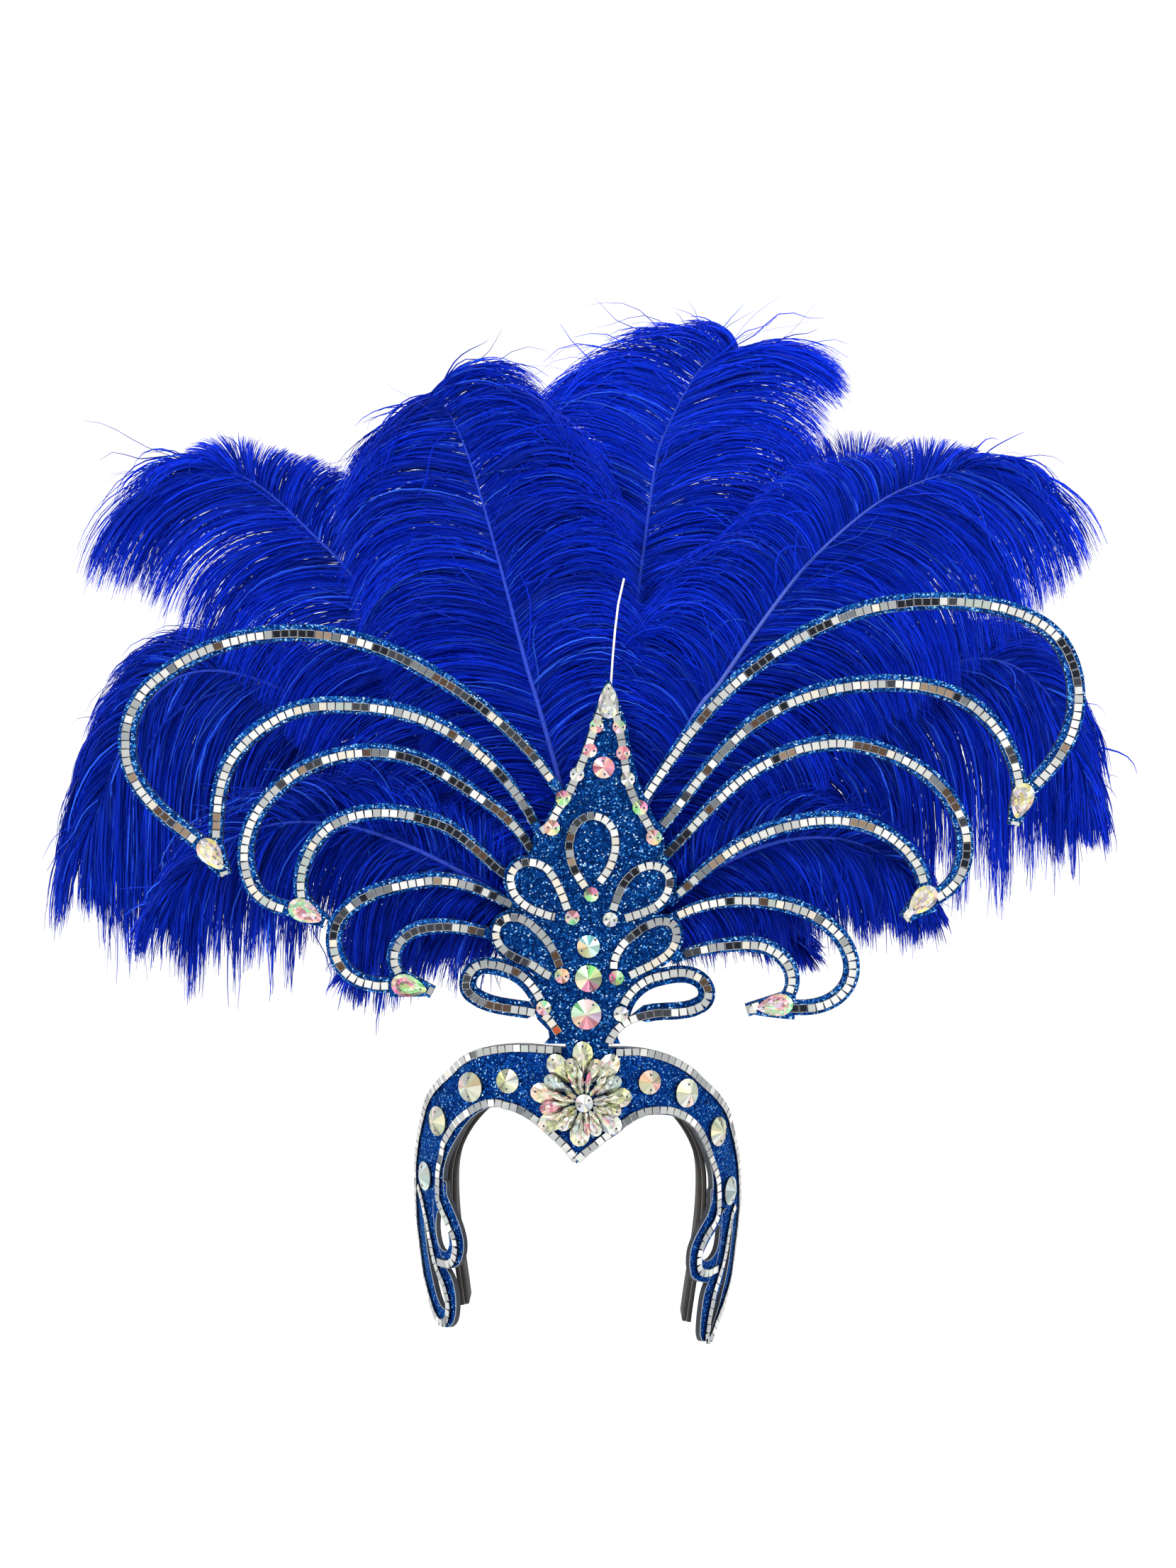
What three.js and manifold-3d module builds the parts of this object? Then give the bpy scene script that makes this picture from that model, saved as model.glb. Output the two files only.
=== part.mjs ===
// Showgirl feather headdress: a blue foam crown with scrolled arms, mirror-tile
// strips and sew-on stones in front of a fan of ostrich plumes.
// Millimetres. +X to the right in a front view, +Y to the back, +Z up. The
// origin is the underside of the over-head hoop at its crown.
import * as THREE from 'three';
import Module from 'manifold-3d';
import { mergeVertices } from 'three/addons/utils/BufferGeometryUtils.js';

const wasm = await Module();
wasm.setup();

// ---------------------------------------------------------------- dimensions
const FOAM = 4.0;                 // thickness of the foam sheets
const GAP = 0.3;                  // glue gap between touching pieces
const TILE = 5.0;                 // side of one square mirror tile
const TILE_THICK = 1.2;
const PANEL_FRONT = -76.0;        // front face of the centre panel
const PANEL_BACK = PANEL_FRONT + FOAM + 0.2;
const WING_FRONT = -71.5;         // front face of the arms, behind the panel
const SWEEP_FROM = 85, SWEEP = 0.00045, MIDDLE_X = 7;   // arms sweep forward
const BROW_A = 110.5, BROW_B = 110.0, BROW_Y = 38.5;    // ellipse of the brow
const TAB_TUCK = 10, TUCK_FROM = -60, TUCK_OVER = 115;  // tabs close in below
const ARC = BROW_B * Math.PI / 180;                     // mm for each degree
const LOBE_MARGIN = 4.5;          // foam outside a lobe's strip line
const HOLE_INSET = 6.0;           // open middle of the two lower lobes
const HOOP_THICK = 6.0, HOOP_FRONT = -20, HOOP_BACK = 18;
const POST = { x0: -7, x1: 9, front: -66.8, thick: 4, top: 150, foot: 6.3, arm: 5, back: 16 };
const HUB = { x: 8, z: 95, r: 26, front: -66.9, back: -38 };
const LAYER_ROOT = 6, LAYER_STEP = 19, FIRST_LAYER = -60.5;
const LEAN = 85, PLUME_THICK = 16;

// ------------------------------------------------------------------- colours
const finish = (color, roughness, metalness) =>
  new THREE.MeshStandardMaterial({ color, roughness, metalness });
const FINISH = {
  glitterFoam: () => finish(0x1b5fa8, 0.55, 0.1),
  darkFoam: () => finish(0x35322f, 0.8, 0),
  mirror: () => finish(0xc9cdd0, 0.08, 1),
  crystal: () => finish(0xd9e6b8, 0.1, 0.2),
  plume: () => finish(0x0b17b8, 0.8, 0),
  quill: () => finish(0xe9e6dd, 0.5, 0),
};

// ------------------------------------------------------------------ surfaces
// Each one takes two lengths on the sheet and a height over its front face.
const panelFace = (x, z, h) => [x, PANEL_FRONT - h, z];
const wingFace = (x, z, h) => {
  const d = Math.max(0, Math.abs(x - MIDDLE_X) - SWEEP_FROM);
  return [x, WING_FRONT - SWEEP * d * d - h, z];
};
const browFace = (deg, z, h) => {
  const t = Math.min(1, Math.max(0, (TUCK_FROM - z) / TUCK_OVER));
  const a = BROW_A - TAB_TUCK * t * t * (3 - 2 * t);
  const th = deg * Math.PI / 180;
  return [(a + h) * Math.sin(th), BROW_Y - (BROW_B + h) * Math.cos(th), z];
};

// -------------------------------------------------------------------- curves
// A smooth curve through rows of x, z, heading (degrees): each span bends like
// an arc between its two headings.
function headingCurve(rows, steps, stretch = 1) {
  const out = [];
  for (let i = 0; i + 1 < rows.length; i++) {
    const p = rows[i], q = rows[i + 1];
    const dx = (q.x - p.x) * stretch, dz = q.z - p.z;
    const turn = Math.max(-170, Math.min(170, q.dir - p.dir)) * Math.PI / 180;
    const k = Math.hypot(dx, dz) / 3 / Math.cos(turn / 4) ** 2;
    const c0 = Math.cos(p.dir * Math.PI / 180), s0 = Math.sin(p.dir * Math.PI / 180);
    const c1 = Math.cos(q.dir * Math.PI / 180), s1 = Math.sin(q.dir * Math.PI / 180);
    const curve = new THREE.CubicBezierCurve(
      new THREE.Vector2(p.x * stretch, p.z),
      new THREE.Vector2(p.x * stretch + k * c0, p.z + k * s0),
      new THREE.Vector2(q.x * stretch - k * c1, q.z - k * s1),
      new THREE.Vector2(q.x * stretch, q.z));
    const n = Math.max(1, Math.round(steps * Math.max(Math.abs(turn) * 1.35, Math.hypot(dx, dz) / 55)));
    for (let j = 0; j < n; j++) {
      const t = j / n, at = curve.getPoint(t);
      out.push({ x: at.x / stretch, z: at.y, row: i + t });
    }
  }
  const e = rows[rows.length - 1];
  out.push({ x: e.x, z: e.z, row: rows.length - 1 });
  return out;
}

// A closed smooth line through points, with the same steps in every span.
function closedCurve(points, steps) {
  const curve = new THREE.CatmullRomCurve3(points.map(([x, z]) => new THREE.Vector3(x, z, 0)), true, 'catmullrom', 0.5);
  const count = points.length * steps, out = [];
  for (let i = 0; i < count; i++) { const c = curve.getPoint(i / count); out.push([c.x, c.y]); }
  return out;
}

// Unit normal on the left of travel at each point of a line.
function leftNormals(line, stretch, closed) {
  const n = line.length;
  return line.map((_, i) => {
    const a = line[closed ? (i + n - 1) % n : Math.max(0, i - 1)];
    const b = line[closed ? (i + 1) % n : Math.min(n - 1, i + 1)];
    const dx = (b.x - a.x) * stretch, dz = b.z - a.z, l = Math.hypot(dx, dz) || 1;
    return [-dz / l, dx / l];
  });
}
const column = (rows, key, at) => {
  const i = Math.min(rows.length - 2, Math.floor(at)), t = at - i;
  return rows[i][key] * (1 - t) + rows[i + 1][key] * t;
};

// --------------------------------------------------------------- mesh makers
function geometryOf(points, triangles) {
  const g = new THREE.BufferGeometry();
  let volume = 0;
  for (let i = 0; i < triangles.length; i += 3) {
    const [a, b, c] = [points[triangles[i]], points[triangles[i + 1]], points[triangles[i + 2]]];
    volume += a[0] * (b[1] * c[2] - b[2] * c[1]) - a[1] * (b[0] * c[2] - b[2] * c[0])
      + a[2] * (b[0] * c[1] - b[1] * c[0]);
  }
  if (volume < 0) for (let i = 0; i < triangles.length; i += 3) {
    const t = triangles[i + 1]; triangles[i + 1] = triangles[i + 2]; triangles[i + 2] = t;
  }
  g.setAttribute('position', new THREE.Float32BufferAttribute(points.flat(), 3));
  g.setIndex(triangles);
  return g;
}

// A sheet between two edge lines, laid on a surface between two heights.
function sheet(left, right, face, h0, h1, across = 1, closed = false) {
  const pts = [], tri = [], n = left.length, w = across + 1;
  for (const h of [h0, h1]) for (let i = 0; i < n; i++) for (let j = 0; j < w; j++) {
    const t = j / across;
    pts.push(face(left[i][0] * (1 - t) + right[i][0] * t, left[i][1] * (1 - t) + right[i][1] * t, h));
  }
  const id = (k, i, j) => k * n * w + ((i + n) % n) * w + j;
  const quad = (a, b, c, d) => tri.push(a, b, c, a, c, d);
  const last = closed ? n : n - 1;
  for (let i = 0; i < last; i++) {
    for (let j = 0; j < across; j++) {
      quad(id(1, i, j), id(1, i + 1, j), id(1, i + 1, j + 1), id(1, i, j + 1));
      quad(id(0, i, j), id(0, i, j + 1), id(0, i + 1, j + 1), id(0, i + 1, j));
    }
    quad(id(0, i, 0), id(0, i + 1, 0), id(1, i + 1, 0), id(1, i, 0));
    quad(id(0, i, across), id(1, i, across), id(1, i + 1, across), id(0, i + 1, across));
  }
  if (!closed) for (let j = 0; j < across; j++) {
    quad(id(0, 0, j), id(1, 0, j), id(1, 0, j + 1), id(0, 0, j + 1));
    quad(id(0, n - 1, j), id(0, n - 1, j + 1), id(1, n - 1, j + 1), id(1, n - 1, j));
  }
  return geometryOf(pts, tri);
}

// A strip along a line with a half width on each side of it.
function strip(line, leftHalf, rightHalf, face, h0, h1, { across = 1, closed = false, stretch = 1 } = {}) {
  const nrm = leftNormals(line, stretch, closed);
  const edge = (sign, half) => line.map((p, i) => {
    const w = typeof half === 'function' ? half(p, i) : half;
    return [p.x + sign * w * nrm[i][0] / stretch, p.z + sign * w * nrm[i][1]];
  });
  return sheet(edge(1, leftHalf), edge(-1, rightHalf), face, h0, h1, across, closed);
}

// A flat plate cut to an outline in the plane of the panel.
function plate(outline, front, back) {
  const s = new THREE.Shape(outline.map(([x, z]) => new THREE.Vector2(x, z)));
  const g = new THREE.ExtrudeGeometry(s, { depth: back - front, bevelEnabled: false, steps: 1 });
  g.rotateX(Math.PI / 2);
  g.translate(0, back, 0);
  return g;
}

// A flat-backed cut stone: a girdle of the given outline and facets up to one
// point. The outline is in mm about its centre, tilt turns it on the surface.
function stone(face, u, v, outline, { base = GAP, wall = 1.0, high = 3.4, tilt = 0, peak = [0, 0], stretch = 1 } = {}) {
  const o = face(u, v, 0), e = 0.5;
  const du = face(u + e / stretch, v, 0), dv = face(u, v + e, 0);
  const E = new THREE.Vector3(du[0] - o[0], du[1] - o[1], du[2] - o[2]).normalize();
  let F = new THREE.Vector3(dv[0] - o[0], dv[1] - o[1], dv[2] - o[2]).normalize();
  const N = new THREE.Vector3().crossVectors(E, F).normalize();
  F = new THREE.Vector3().crossVectors(N, E).normalize();
  const c = Math.cos(tilt * Math.PI / 180), s = Math.sin(tilt * Math.PI / 180);
  const put = (a, b, h) => {
    const p = a * c - b * s, q = a * s + b * c;
    return [0, 1, 2].map(k => o[k] + E.getComponent(k) * p + F.getComponent(k) * q + N.getComponent(k) * h);
  };
  const pts = [], tri = [], n = outline.length;
  for (const h of [base, base + wall]) for (const [a, b] of outline) pts.push(put(a, b, h));
  pts.push(put(peak[0], peak[1], base + high));
  for (let i = 0; i < n; i++) {
    const j = (i + 1) % n;
    tri.push(i, j, n + j, i, n + j, n + i, n + i, n + j, 2 * n);
    if (i > 0 && i < n - 1) tri.push(0, i + 1, i);
  }
  return geometryOf(pts, tri);
}
const disc = (r, sides = 12) => Array.from({ length: sides }, (_, i) =>
  [r * Math.cos(2 * Math.PI * (i + 0.5) / sides), r * Math.sin(2 * Math.PI * (i + 0.5) / sides)]);
// A drop with its round end at -a and its point at +a of the length.
const drop = (length, width, sides = 14) => Array.from({ length: sides }, (_, i) => {
  const t = 2 * Math.PI * i / sides, q = (1 + Math.cos(t)) / 2;
  return [length / 2 * Math.cos(t), width / 2 * Math.sin(t) * (1.12 - 0.62 * q ** 1.6)];
});

function solidOf(geometry) {
  const g = geometry.clone();
  g.deleteAttribute('normal'); g.deleteAttribute('uv');
  const m = mergeVertices(g, 1e-4);
  return new wasm.Manifold(new wasm.Mesh({
    numProp: 3,
    vertProperties: new Float32Array(m.attributes.position.array),
    triVerts: new Uint32Array(m.index.array),
  }));
}
function geometryFrom(solid) {
  const m = solid.getMesh(), g = new THREE.BufferGeometry();
  g.setAttribute('position', new THREE.BufferAttribute(new Float32Array(m.vertProperties), 3));
  g.setIndex(Array.from(m.triVerts));
  return g;
}
const joined = list => list.map(solidOf).reduce((a, b) => a.add(b));
const join = (...list) => geometryFrom(joined(list));

const group = new THREE.Group();
function add(name, geometry, material) {
  const mesh = new THREE.Mesh(geometry, material);
  mesh.name = name;
  group.add(mesh);
}

// ---------------------------------------------------------- scrolled arms
// Each row: a point of the mirror strip's middle line, its heading, and the
// foam's half width outside and inside the scroll. "back" is how far the arm
// runs on behind the panel.
const row = (x, z, dir, out, inn) => ({ x, z, dir, out, inn });
const ARMS = {
  left1: { side: -1, back: 19, rows: [row(-15.5, 190, 124, 3.6, 3.4), row(-101, 262, 151, 6.6, 4.6), row(-190, 280.5, 186, 6.2, 4.6), row(-262, 249.5, 223, 5.2, 5.2), row(-277, 205, 278, 4.4, 6.2), row(-231, 149, 321, 4.2, 6.0)] },
  left2: { side: -1, back: 12, rows: [row(-26.5, 163.5, 117, 3.4, 3.2), row(-81.5, 221, 150, 6.4, 4.4), row(-159, 236, 183, 6.4, 4.6), row(-209, 209.5, 229, 6.0, 4.4), row(-223, 151, 269, 4.6, 4.0)] },
  left3: { side: -1, back: 12, rows: [row(-28.5, 147, 117, 3.2, 3.4), row(-83, 194, 146, 6.4, 4.4), row(-146.5, 205.5, 192, 6.0, 4.6), row(-196.5, 173, 235, 5.0, 5.2), row(-202.5, 126.5, 291, 4.4, 6.0), row(-173.5, 109.5, 358, 4.2, 5.6)] },
  left4: { side: -1, back: 10, rows: [row(-44.5, 131.5, 145, 3.4, 3.2), row(-87.5, 163.5, 162, 6.2, 4.4), row(-134, 169, 191, 6.0, 4.6), row(-163.5, 150.5, 238, 5.6, 4.4), row(-170.5, 117, 282, 4.6, 4.0)] },
  left5: { side: -1, back: 10, rows: [row(-40, 112.5, 152, 3.2, 3.4), row(-97, 127, 190, 6.2, 4.4), row(-145, 107.5, 229, 5.2, 5.0), row(-147.5, 76, 300, 4.4, 5.6), row(-116.5, 62.5, 364, 4.4, 5.2)] },
  left6: { side: -1, back: 10, rows: [row(-52, 94, 165, 3.6, 3.4), row(-92, 98.5, 188, 5.8, 4.4), row(-111.5, 87, 243, 5.4, 4.2), row(-110.5, 70, 306, 4.6, 3.6)] },
  right1: { side: 1, back: 12, rows: [row(42.5, 179, 57, 3.6, 3.4), row(110.5, 260, 37, 6.4, 4.6), row(204, 300, 4, 6.2, 4.6), row(285, 287, -31, 5.4, 5.0), row(308, 240, -90, 4.4, 6.2), row(279, 184, -137, 4.2, 6.0)] },
  right2: { side: 1, back: 12, rows: [row(50, 157.5, 50, 3.4, 3.4), row(119, 231, 31, 6.4, 4.4), row(192, 250, 0, 6.4, 4.6), row(247.5, 234, -39, 6.0, 4.4), row(273, 186.5, -83, 4.6, 4.0)] },
  right3: { side: 1, back: 12, rows: [row(55.5, 143.5, 45, 3.4, 3.4), row(117, 200, 29, 6.4, 4.4), row(174, 212, -10, 6.0, 4.6), row(226.5, 185, -49, 5.0, 5.2), row(240.5, 141.5, -100, 4.4, 6.0), row(220, 116, -158, 4.2, 5.6)] },
  right4: { side: 1, back: 8, rows: [row(63, 119, 43, 3.4, 3.2), row(114.5, 156, 23, 6.2, 4.4), row(165.5, 165, -5, 6.2, 4.6), row(201, 150, -42, 5.6, 4.4), row(216, 123, -82, 4.6, 4.0)] },
  right5: { side: 1, back: 5, rows: [row(62.5, 106, 26, 3.2, 3.4), row(121.5, 114, -9, 6.2, 4.4), row(164.5, 92, -53, 5.2, 5.0), row(168, 61.5, -122, 4.4, 5.6), row(136, 48.5, -184, 4.4, 5.2)] },
  right6: { side: 1, back: 8, rows: [row(66.5, 81.5, 18, 3.6, 3.4), row(110, 87.5, -4, 5.8, 4.4), row(131.5, 74.5, -62, 5.4, 4.2), row(130, 55.5, -133, 4.6, 3.6)] },
};
// Where two arms meet: the drop stone's middle, the foam's point, and the way
// the drop points.
const TIPS = [
  { name: 'upper_left', outer: 'left1', inner: 'left2', x: -226.0, z: 144.5, tipX: -217.6, tipZ: 131.6, dir: -54 },
  { name: 'middle_left', outer: 'left3', inner: 'left4', x: -168.5, z: 108.6, tipX: -155.2, tipZ: 101.4, dir: -28 },
  { name: 'lower_left', outer: 'left5', inner: 'left6', x: -104.4, z: 62.2, tipX: -89.5, tipZ: 58.6, dir: -13 },
  { name: 'upper_right', outer: 'right1', inner: 'right2', x: 274.2, z: 177.6, tipX: 270.0, tipZ: 162.6, dir: -106 },
  { name: 'middle_right', outer: 'right3', inner: 'right4', x: 214.0, z: 115.6, tipX: 203.4, tipZ: 104.2, dir: -134 },
  { name: 'lower_right', outer: 'right5', inner: 'right6', x: 123.4, z: 50.3, tipX: 105.8, tipZ: 47.6, dir: -172 },
];
const TIP_STONE = { length: 21, width: 13.5 };

function armLine(arm, steps) {
  const line = headingCurve(arm.rows, steps);
  const r = arm.rows[0], c = Math.cos(r.dir * Math.PI / 180), s = Math.sin(r.dir * Math.PI / 180);
  return [{ x: r.x - arm.back * c, z: r.z - arm.back * s, row: 0 }, ...line];
}
function armFoam(arm, inset, end = null) {
  const line = armLine(arm, 3.2);
  if (end) line.push({ x: end.x, z: end.z, row: arm.rows.length - 1 });
  const out = p => column(arm.rows, 'out', p.row), inn = p => column(arm.rows, 'inn', p.row);
  const [left, right] = arm.side < 0 ? [inn, out] : [out, inn];
  return strip(line, left, right, wingFace, -FOAM + inset, -inset);
}
function tipFoam(tip) {
  const e = ARMS[tip.outer].rows.at(-1);
  const rows = [{ x: e.x, z: e.z, dir: e.dir }, { x: tip.tipX, z: tip.tipZ, dir: tip.dir }];
  if (rows[1].dir - rows[0].dir > 180) rows[1].dir -= 360;
  if (rows[0].dir - rows[1].dir > 180) rows[0].dir -= 360;
  const line = headingCurve(rows, 4);
  const last = line.length - 1;
  const half = (_, i) => 0.7 + 6.6 * Math.sqrt(Math.max(0, 1 - (i / last) ** 1.7));
  return strip(line, half, half, wingFace, -FOAM + 0.1, -0.1);
}
function armTrim(arm, end) {
  const line = [...headingCurve(arm.rows, 3.2), { x: end.x, z: end.z }];
  return strip(line, TILE / 2, TILE / 2, wingFace, GAP, GAP + TILE_THICK);
}

// ---------------------------------------------------------- centre panel
// The panel's body: left and right edge at each height, from the spire's tip
// down the neck to the tongue behind the rosette.
const BODY = [
  { z: 252.5, left: 18.2, right: 20.6 }, { z: 241, left: 13.6, right: 26 },
  { z: 223, left: 7.4, right: 31.6 }, { z: 206, left: 1.8, right: 34.4 },
  { z: 190, left: -4.8, right: 38.4 }, { z: 182, left: -10.2, right: 41.6 },
  { z: 174, left: -15.2, right: 45 }, { z: 163, left: -20.8, right: 50.4 },
  { z: 155, left: -27, right: 54 }, { z: 147, left: -27.4, right: 54.6 },
  { z: 140, left: -22, right: 46 }, { z: 124, left: -22, right: 40 },
  { z: 108, left: -26, right: 38 }, { z: 92, left: -24, right: 36 },
  { z: 78, left: -30, right: 42 }, { z: 62, left: -24, right: 32 },
  { z: 50, left: -27, right: 34 }, { z: 42, left: -24.5, right: 34.5 },
  { z: 35, left: -17.6, right: 26.2 }, { z: 30.5, left: -17, right: 25.4 },
  { z: 26.8, left: -20, right: 27 }, { z: 26.7, left: -6.5, right: 20 },
  { z: -12, left: -4, right: 14 },
];
const at = (x, z, dir) => ({ x, z, dir });
// Each lobe: its stone, and the strip's middle line round it. "foot" carries
// the strip on down the neck, "hole" marks an open middle.
const LOBES = [
  { name: 'centre', stone: [9.1, 119.5], r: 4.7, loop: [at(9, 119.5, 131), at(-4.5, 151.5, 85), at(8, 168, 8), at(23, 158, -74), at(14, 127, -132)] },
  { name: 'upper_left', stone: [-2.8, 105.2], r: 4.7, loop: [at(-3, 105, 121), at(-19, 135.5, 139), at(-37, 137, 216), at(-39.5, 121.5, 295), at(-13.5, 105.2, 345)] },
  { name: 'upper_right', stone: [20.8, 103.9], r: 4.7, loop: [at(21, 104, 74), at(36, 133.5, 36), at(54, 135, -36), at(55.5, 119, -118), at(29.5, 104.5, -162)] },
  { name: 'middle_left', stone: [-9.1, 69], r: 4.8, loop: [at(-9, 69, 104), at(-27.5, 100, 143), at(-46, 103.5, 215), at(-48, 88.5, 302), at(-23.5, 73, 323), at(-13, 67.5, 340)] },
  { name: 'middle_right', stone: [24.6, 67.8], r: 4.7, loop: [at(24.5, 68, 114), at(31, 90.5, 41), at(56, 102.5, -8), at(61, 89.5, -111), at(35.5, 70.5, -153), at(28, 67, -158)] },
  { name: 'lower_left', stone: [-20.5, 49.1], r: 4.8, hole: true, loop: [at(-20.5, 49, 109), at(-43, 73.5, 163), at(-65.5, 72, 230), at(-65, 56.5, 322), at(-30, 46.8, 350)], foot: [at(-17.5, 42, 312), at(-10.7, 32.4, 305)] },
  { name: 'lower_right', stone: [27.5, 45.4], r: 4.8, hole: true, loop: [at(27.5, 45.5, 78), at(49, 68, 15), at(78.5, 65.5, -46), at(77.5, 50.5, -147), at(42.5, 44.5, -165)], foot: [at(27, 37.5, -138), at(19.8, 26.8, -115)] },
];
const SPIRE_LEFT = [at(19.6, 246, -112), at(9.5, 218, -108), at(-5, 182, -115), at(-14.1, 167.5, -112), at(-22.2, 158.6, -150)];
const SPIRE_RIGHT = [at(19.8, 246, -72), at(27.5, 216.3, -79), at(34, 182.7, -70), at(39.8, 170.9, -62), at(48.5, 154.6, -64)];
const SPIRE_STONES = [
  { x: 12.3, z: 223.9, r: 4.4 }, { x: 8.3, z: 208.8, r: 4.4 }, { x: 0.2, z: 193.9, r: 4.5 }, { x: -8.5, z: 179.3, r: 4.8 }, { x: -15.3, z: 160.8, r: 5.0 },
  { x: 26.3, z: 223.4, r: 4.2 }, { x: 28.8, z: 207.1, r: 4.4 }, { x: 31.7, z: 191.1, r: 4.5 }, { x: 39.3, z: 173.4, r: 4.8 }, { x: 47.9, z: 154.9, r: 5.0 },
];
const PANEL_STONES = [
  { name: 'stone_spire_round', x: 16.7, z: 198.2, r: 6.8 },
  { name: 'stone_panel_top', x: 7.3, z: 87.2, r: 7.1 },
  { name: 'stone_panel_middle', x: 7.3, z: 67.3, r: 8.4 },
  { name: 'stone_panel_bottom', x: 5.9, z: 45.1, r: 9.5 },
];
const SPIRE_DROP = { x: 19.7, z: 239.4, length: 22, width: 13.5, dir: 90 };

// A lobe's outline at a distance outside (or inside) its strip line.
function lobeOutline(lobe, offset) {
  const line = headingCurve(lobe.loop, 2.6);
  const turn = lobe.loop.at(-1).dir - lobe.loop[0].dir;
  const sign = turn < 0 ? 1 : -1;
  const n = leftNormals(line, 1, false);
  return line.map((p, i) => [p.x + sign * offset * n[i][0], p.z + sign * offset * n[i][1]]);
}
function bodyOutline(grow = 0) {
  return [...BODY.map(b => [b.right + grow, b.z]), ...[...BODY].reverse().map(b => [b.left - grow, b.z])];
}
const panelSolid = (front, back, grow) =>
  [plate(bodyOutline(grow), front, back), ...LOBES.map(l => plate(lobeOutline(l, LOBE_MARGIN + grow), front, back))]
    .map(solidOf).reduce((a, b) => a.add(b));

// ------------------------------------------------------------ brow band
// Degrees round the head from the middle of the brow, and height.
const BROW_OUTER = {
  left: [at(0, 24, 180), at(-20.9, 25.6, 184), at(-45, 10.4, 218), at(-64.5, -22, 241), at(-74.5, -60, 259), at(-77, -86, 265)],
  right: [at(0, 24, 0), at(19.5, 23.4, -6), at(45, 2.8, -38), at(64.5, -28.5, -60), at(74.4, -66, -76), at(77, -92, -84)],
};
const BROW_INNER = {
  left: [at(0, -48.7, 118), at(-12.8, -24, 130), at(-27.2, -14.8, 183), at(-42.7, -34.2, 232), at(-50.1, -55.7, 250), at(-50.4, -76, 278)],
  right: [at(0, -48.7, 58), at(16.4, -25.6, 46), at(29, -19.9, -6), at(43.2, -32.6, -52), at(51.3, -59.4, -70), at(51.6, -82, -100)],
};
// The loops of the tabs: degrees and height of the foam's outer edge, and of its
// slot beside it, all the way round.
const round = (deg, z, slotDeg, slotZ) => ({ deg, z, slotDeg, slotZ });
const TAB_LOOPS = {
  left_long: { inset: 0.1, rows: [
    round(-58, -74.6, -65.7, -81.5), round(-58.5, -90.9, -65.3, -95.6), round(-57.2, -106.6, -64.7, -109), round(-54.7, -119.2, -63, -121.9),
    round(-50.7, -127.3, -60.3, -130.4), round(-49.2, -136.2, -57.6, -137.6), round(-49.4, -146.9, -56.2, -144.5), round(-51.5, -156.2, -56.1, -147.8),
    round(-56.1, -161.5, -57.6, -149.8), round(-61.9, -160.4, -59.5, -149), round(-67.1, -153.8, -61.8, -145.8), round(-71.9, -144.1, -63.6, -141),
    round(-76.6, -132.3, -65.5, -132.2), round(-77.3, -116, -67.1, -120.6), round(-76.9, -99.4, -67.6, -107.2), round(-74.3, -82.1, -67.1, -90.8),
    round(-64.5, -72.4, -66.6, -81.8),
  ] },
  left_short: { inset: 0.2, rows: [
    round(-49.8, -65.8, -54.7, -86.4), round(-49.2, -74.3, -53.8, -87.9), round(-46, -83.5, -52, -91.4), round(-43.3, -93.4, -50.4, -97.2),
    round(-42.2, -103.1, -49.8, -103.3), round(-43.5, -112.7, -50.5, -107.9), round(-46.8, -119.2, -52.2, -111), round(-52.8, -122.6, -54.1, -111.5),
    round(-59, -123, -55.9, -109.9), round(-61.9, -114.8, -57.2, -105.9), round(-62.8, -104.3, -57.6, -100.7), round(-62.2, -92, -57.3, -95.2),
    round(-59.4, -80.4, -56.4, -90.2), round(-56.3, -68.8, -55.5, -87),
  ] },
  right_long: { inset: 0.1, rows: [
    round(59.7, -88.3, 69, -99.2), round(60.2, -102.1, 69, -111.1), round(59.7, -114.2, 68.2, -120.1), round(57.6, -124.9, 67.4, -129),
    round(54.3, -132.2, 65.6, -136), round(52.5, -139.2, 63.2, -142.8), round(51.8, -148, 60.8, -150.4), round(51.5, -157, 59.2, -156.7),
    round(51.7, -164.6, 58.5, -162.5), round(53.7, -169.5, 58.6, -164.2), round(57.9, -169.1, 59.3, -164), round(62.2, -163.1, 60.8, -160.3),
    round(68.5, -153.3, 64.5, -151.8), round(77.3, -140.5, 69, -137.3), round(77.5, -130.5, 71.3, -124.3), round(77.5, -117.8, 71.4, -111.9),
    round(77.5, -106, 71, -102.5), round(77, -92.1, 70.1, -99.5), round(66.6, -86.5, 69.5, -99),
  ] },
  right_short: { inset: 0.2, rows: [
    round(51.6, -70.9, 58.1, -95.8), round(51.4, -81.4, 56.9, -97.7), round(49.9, -87.8, 55.3, -99.9), round(46.6, -94.8, 52.7, -104.1),
    round(43.8, -102.4, 50.6, -109.1), round(42.6, -110, 49.4, -112.9), round(43.1, -119.1, 49.8, -115.7), round(45.6, -126.9, 51.9, -117.3),
    round(53.9, -131.8, 54.3, -117), round(59, -129.2, 56.4, -115.4), round(62.1, -121.1, 58, -112.5), round(63.3, -112.3, 58.9, -108.6),
    round(62.2, -102.7, 59.1, -104.1), round(59.5, -90.5, 59, -99.5), round(55.8, -79.5, 58.7, -96.5),
  ] },
};
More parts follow.
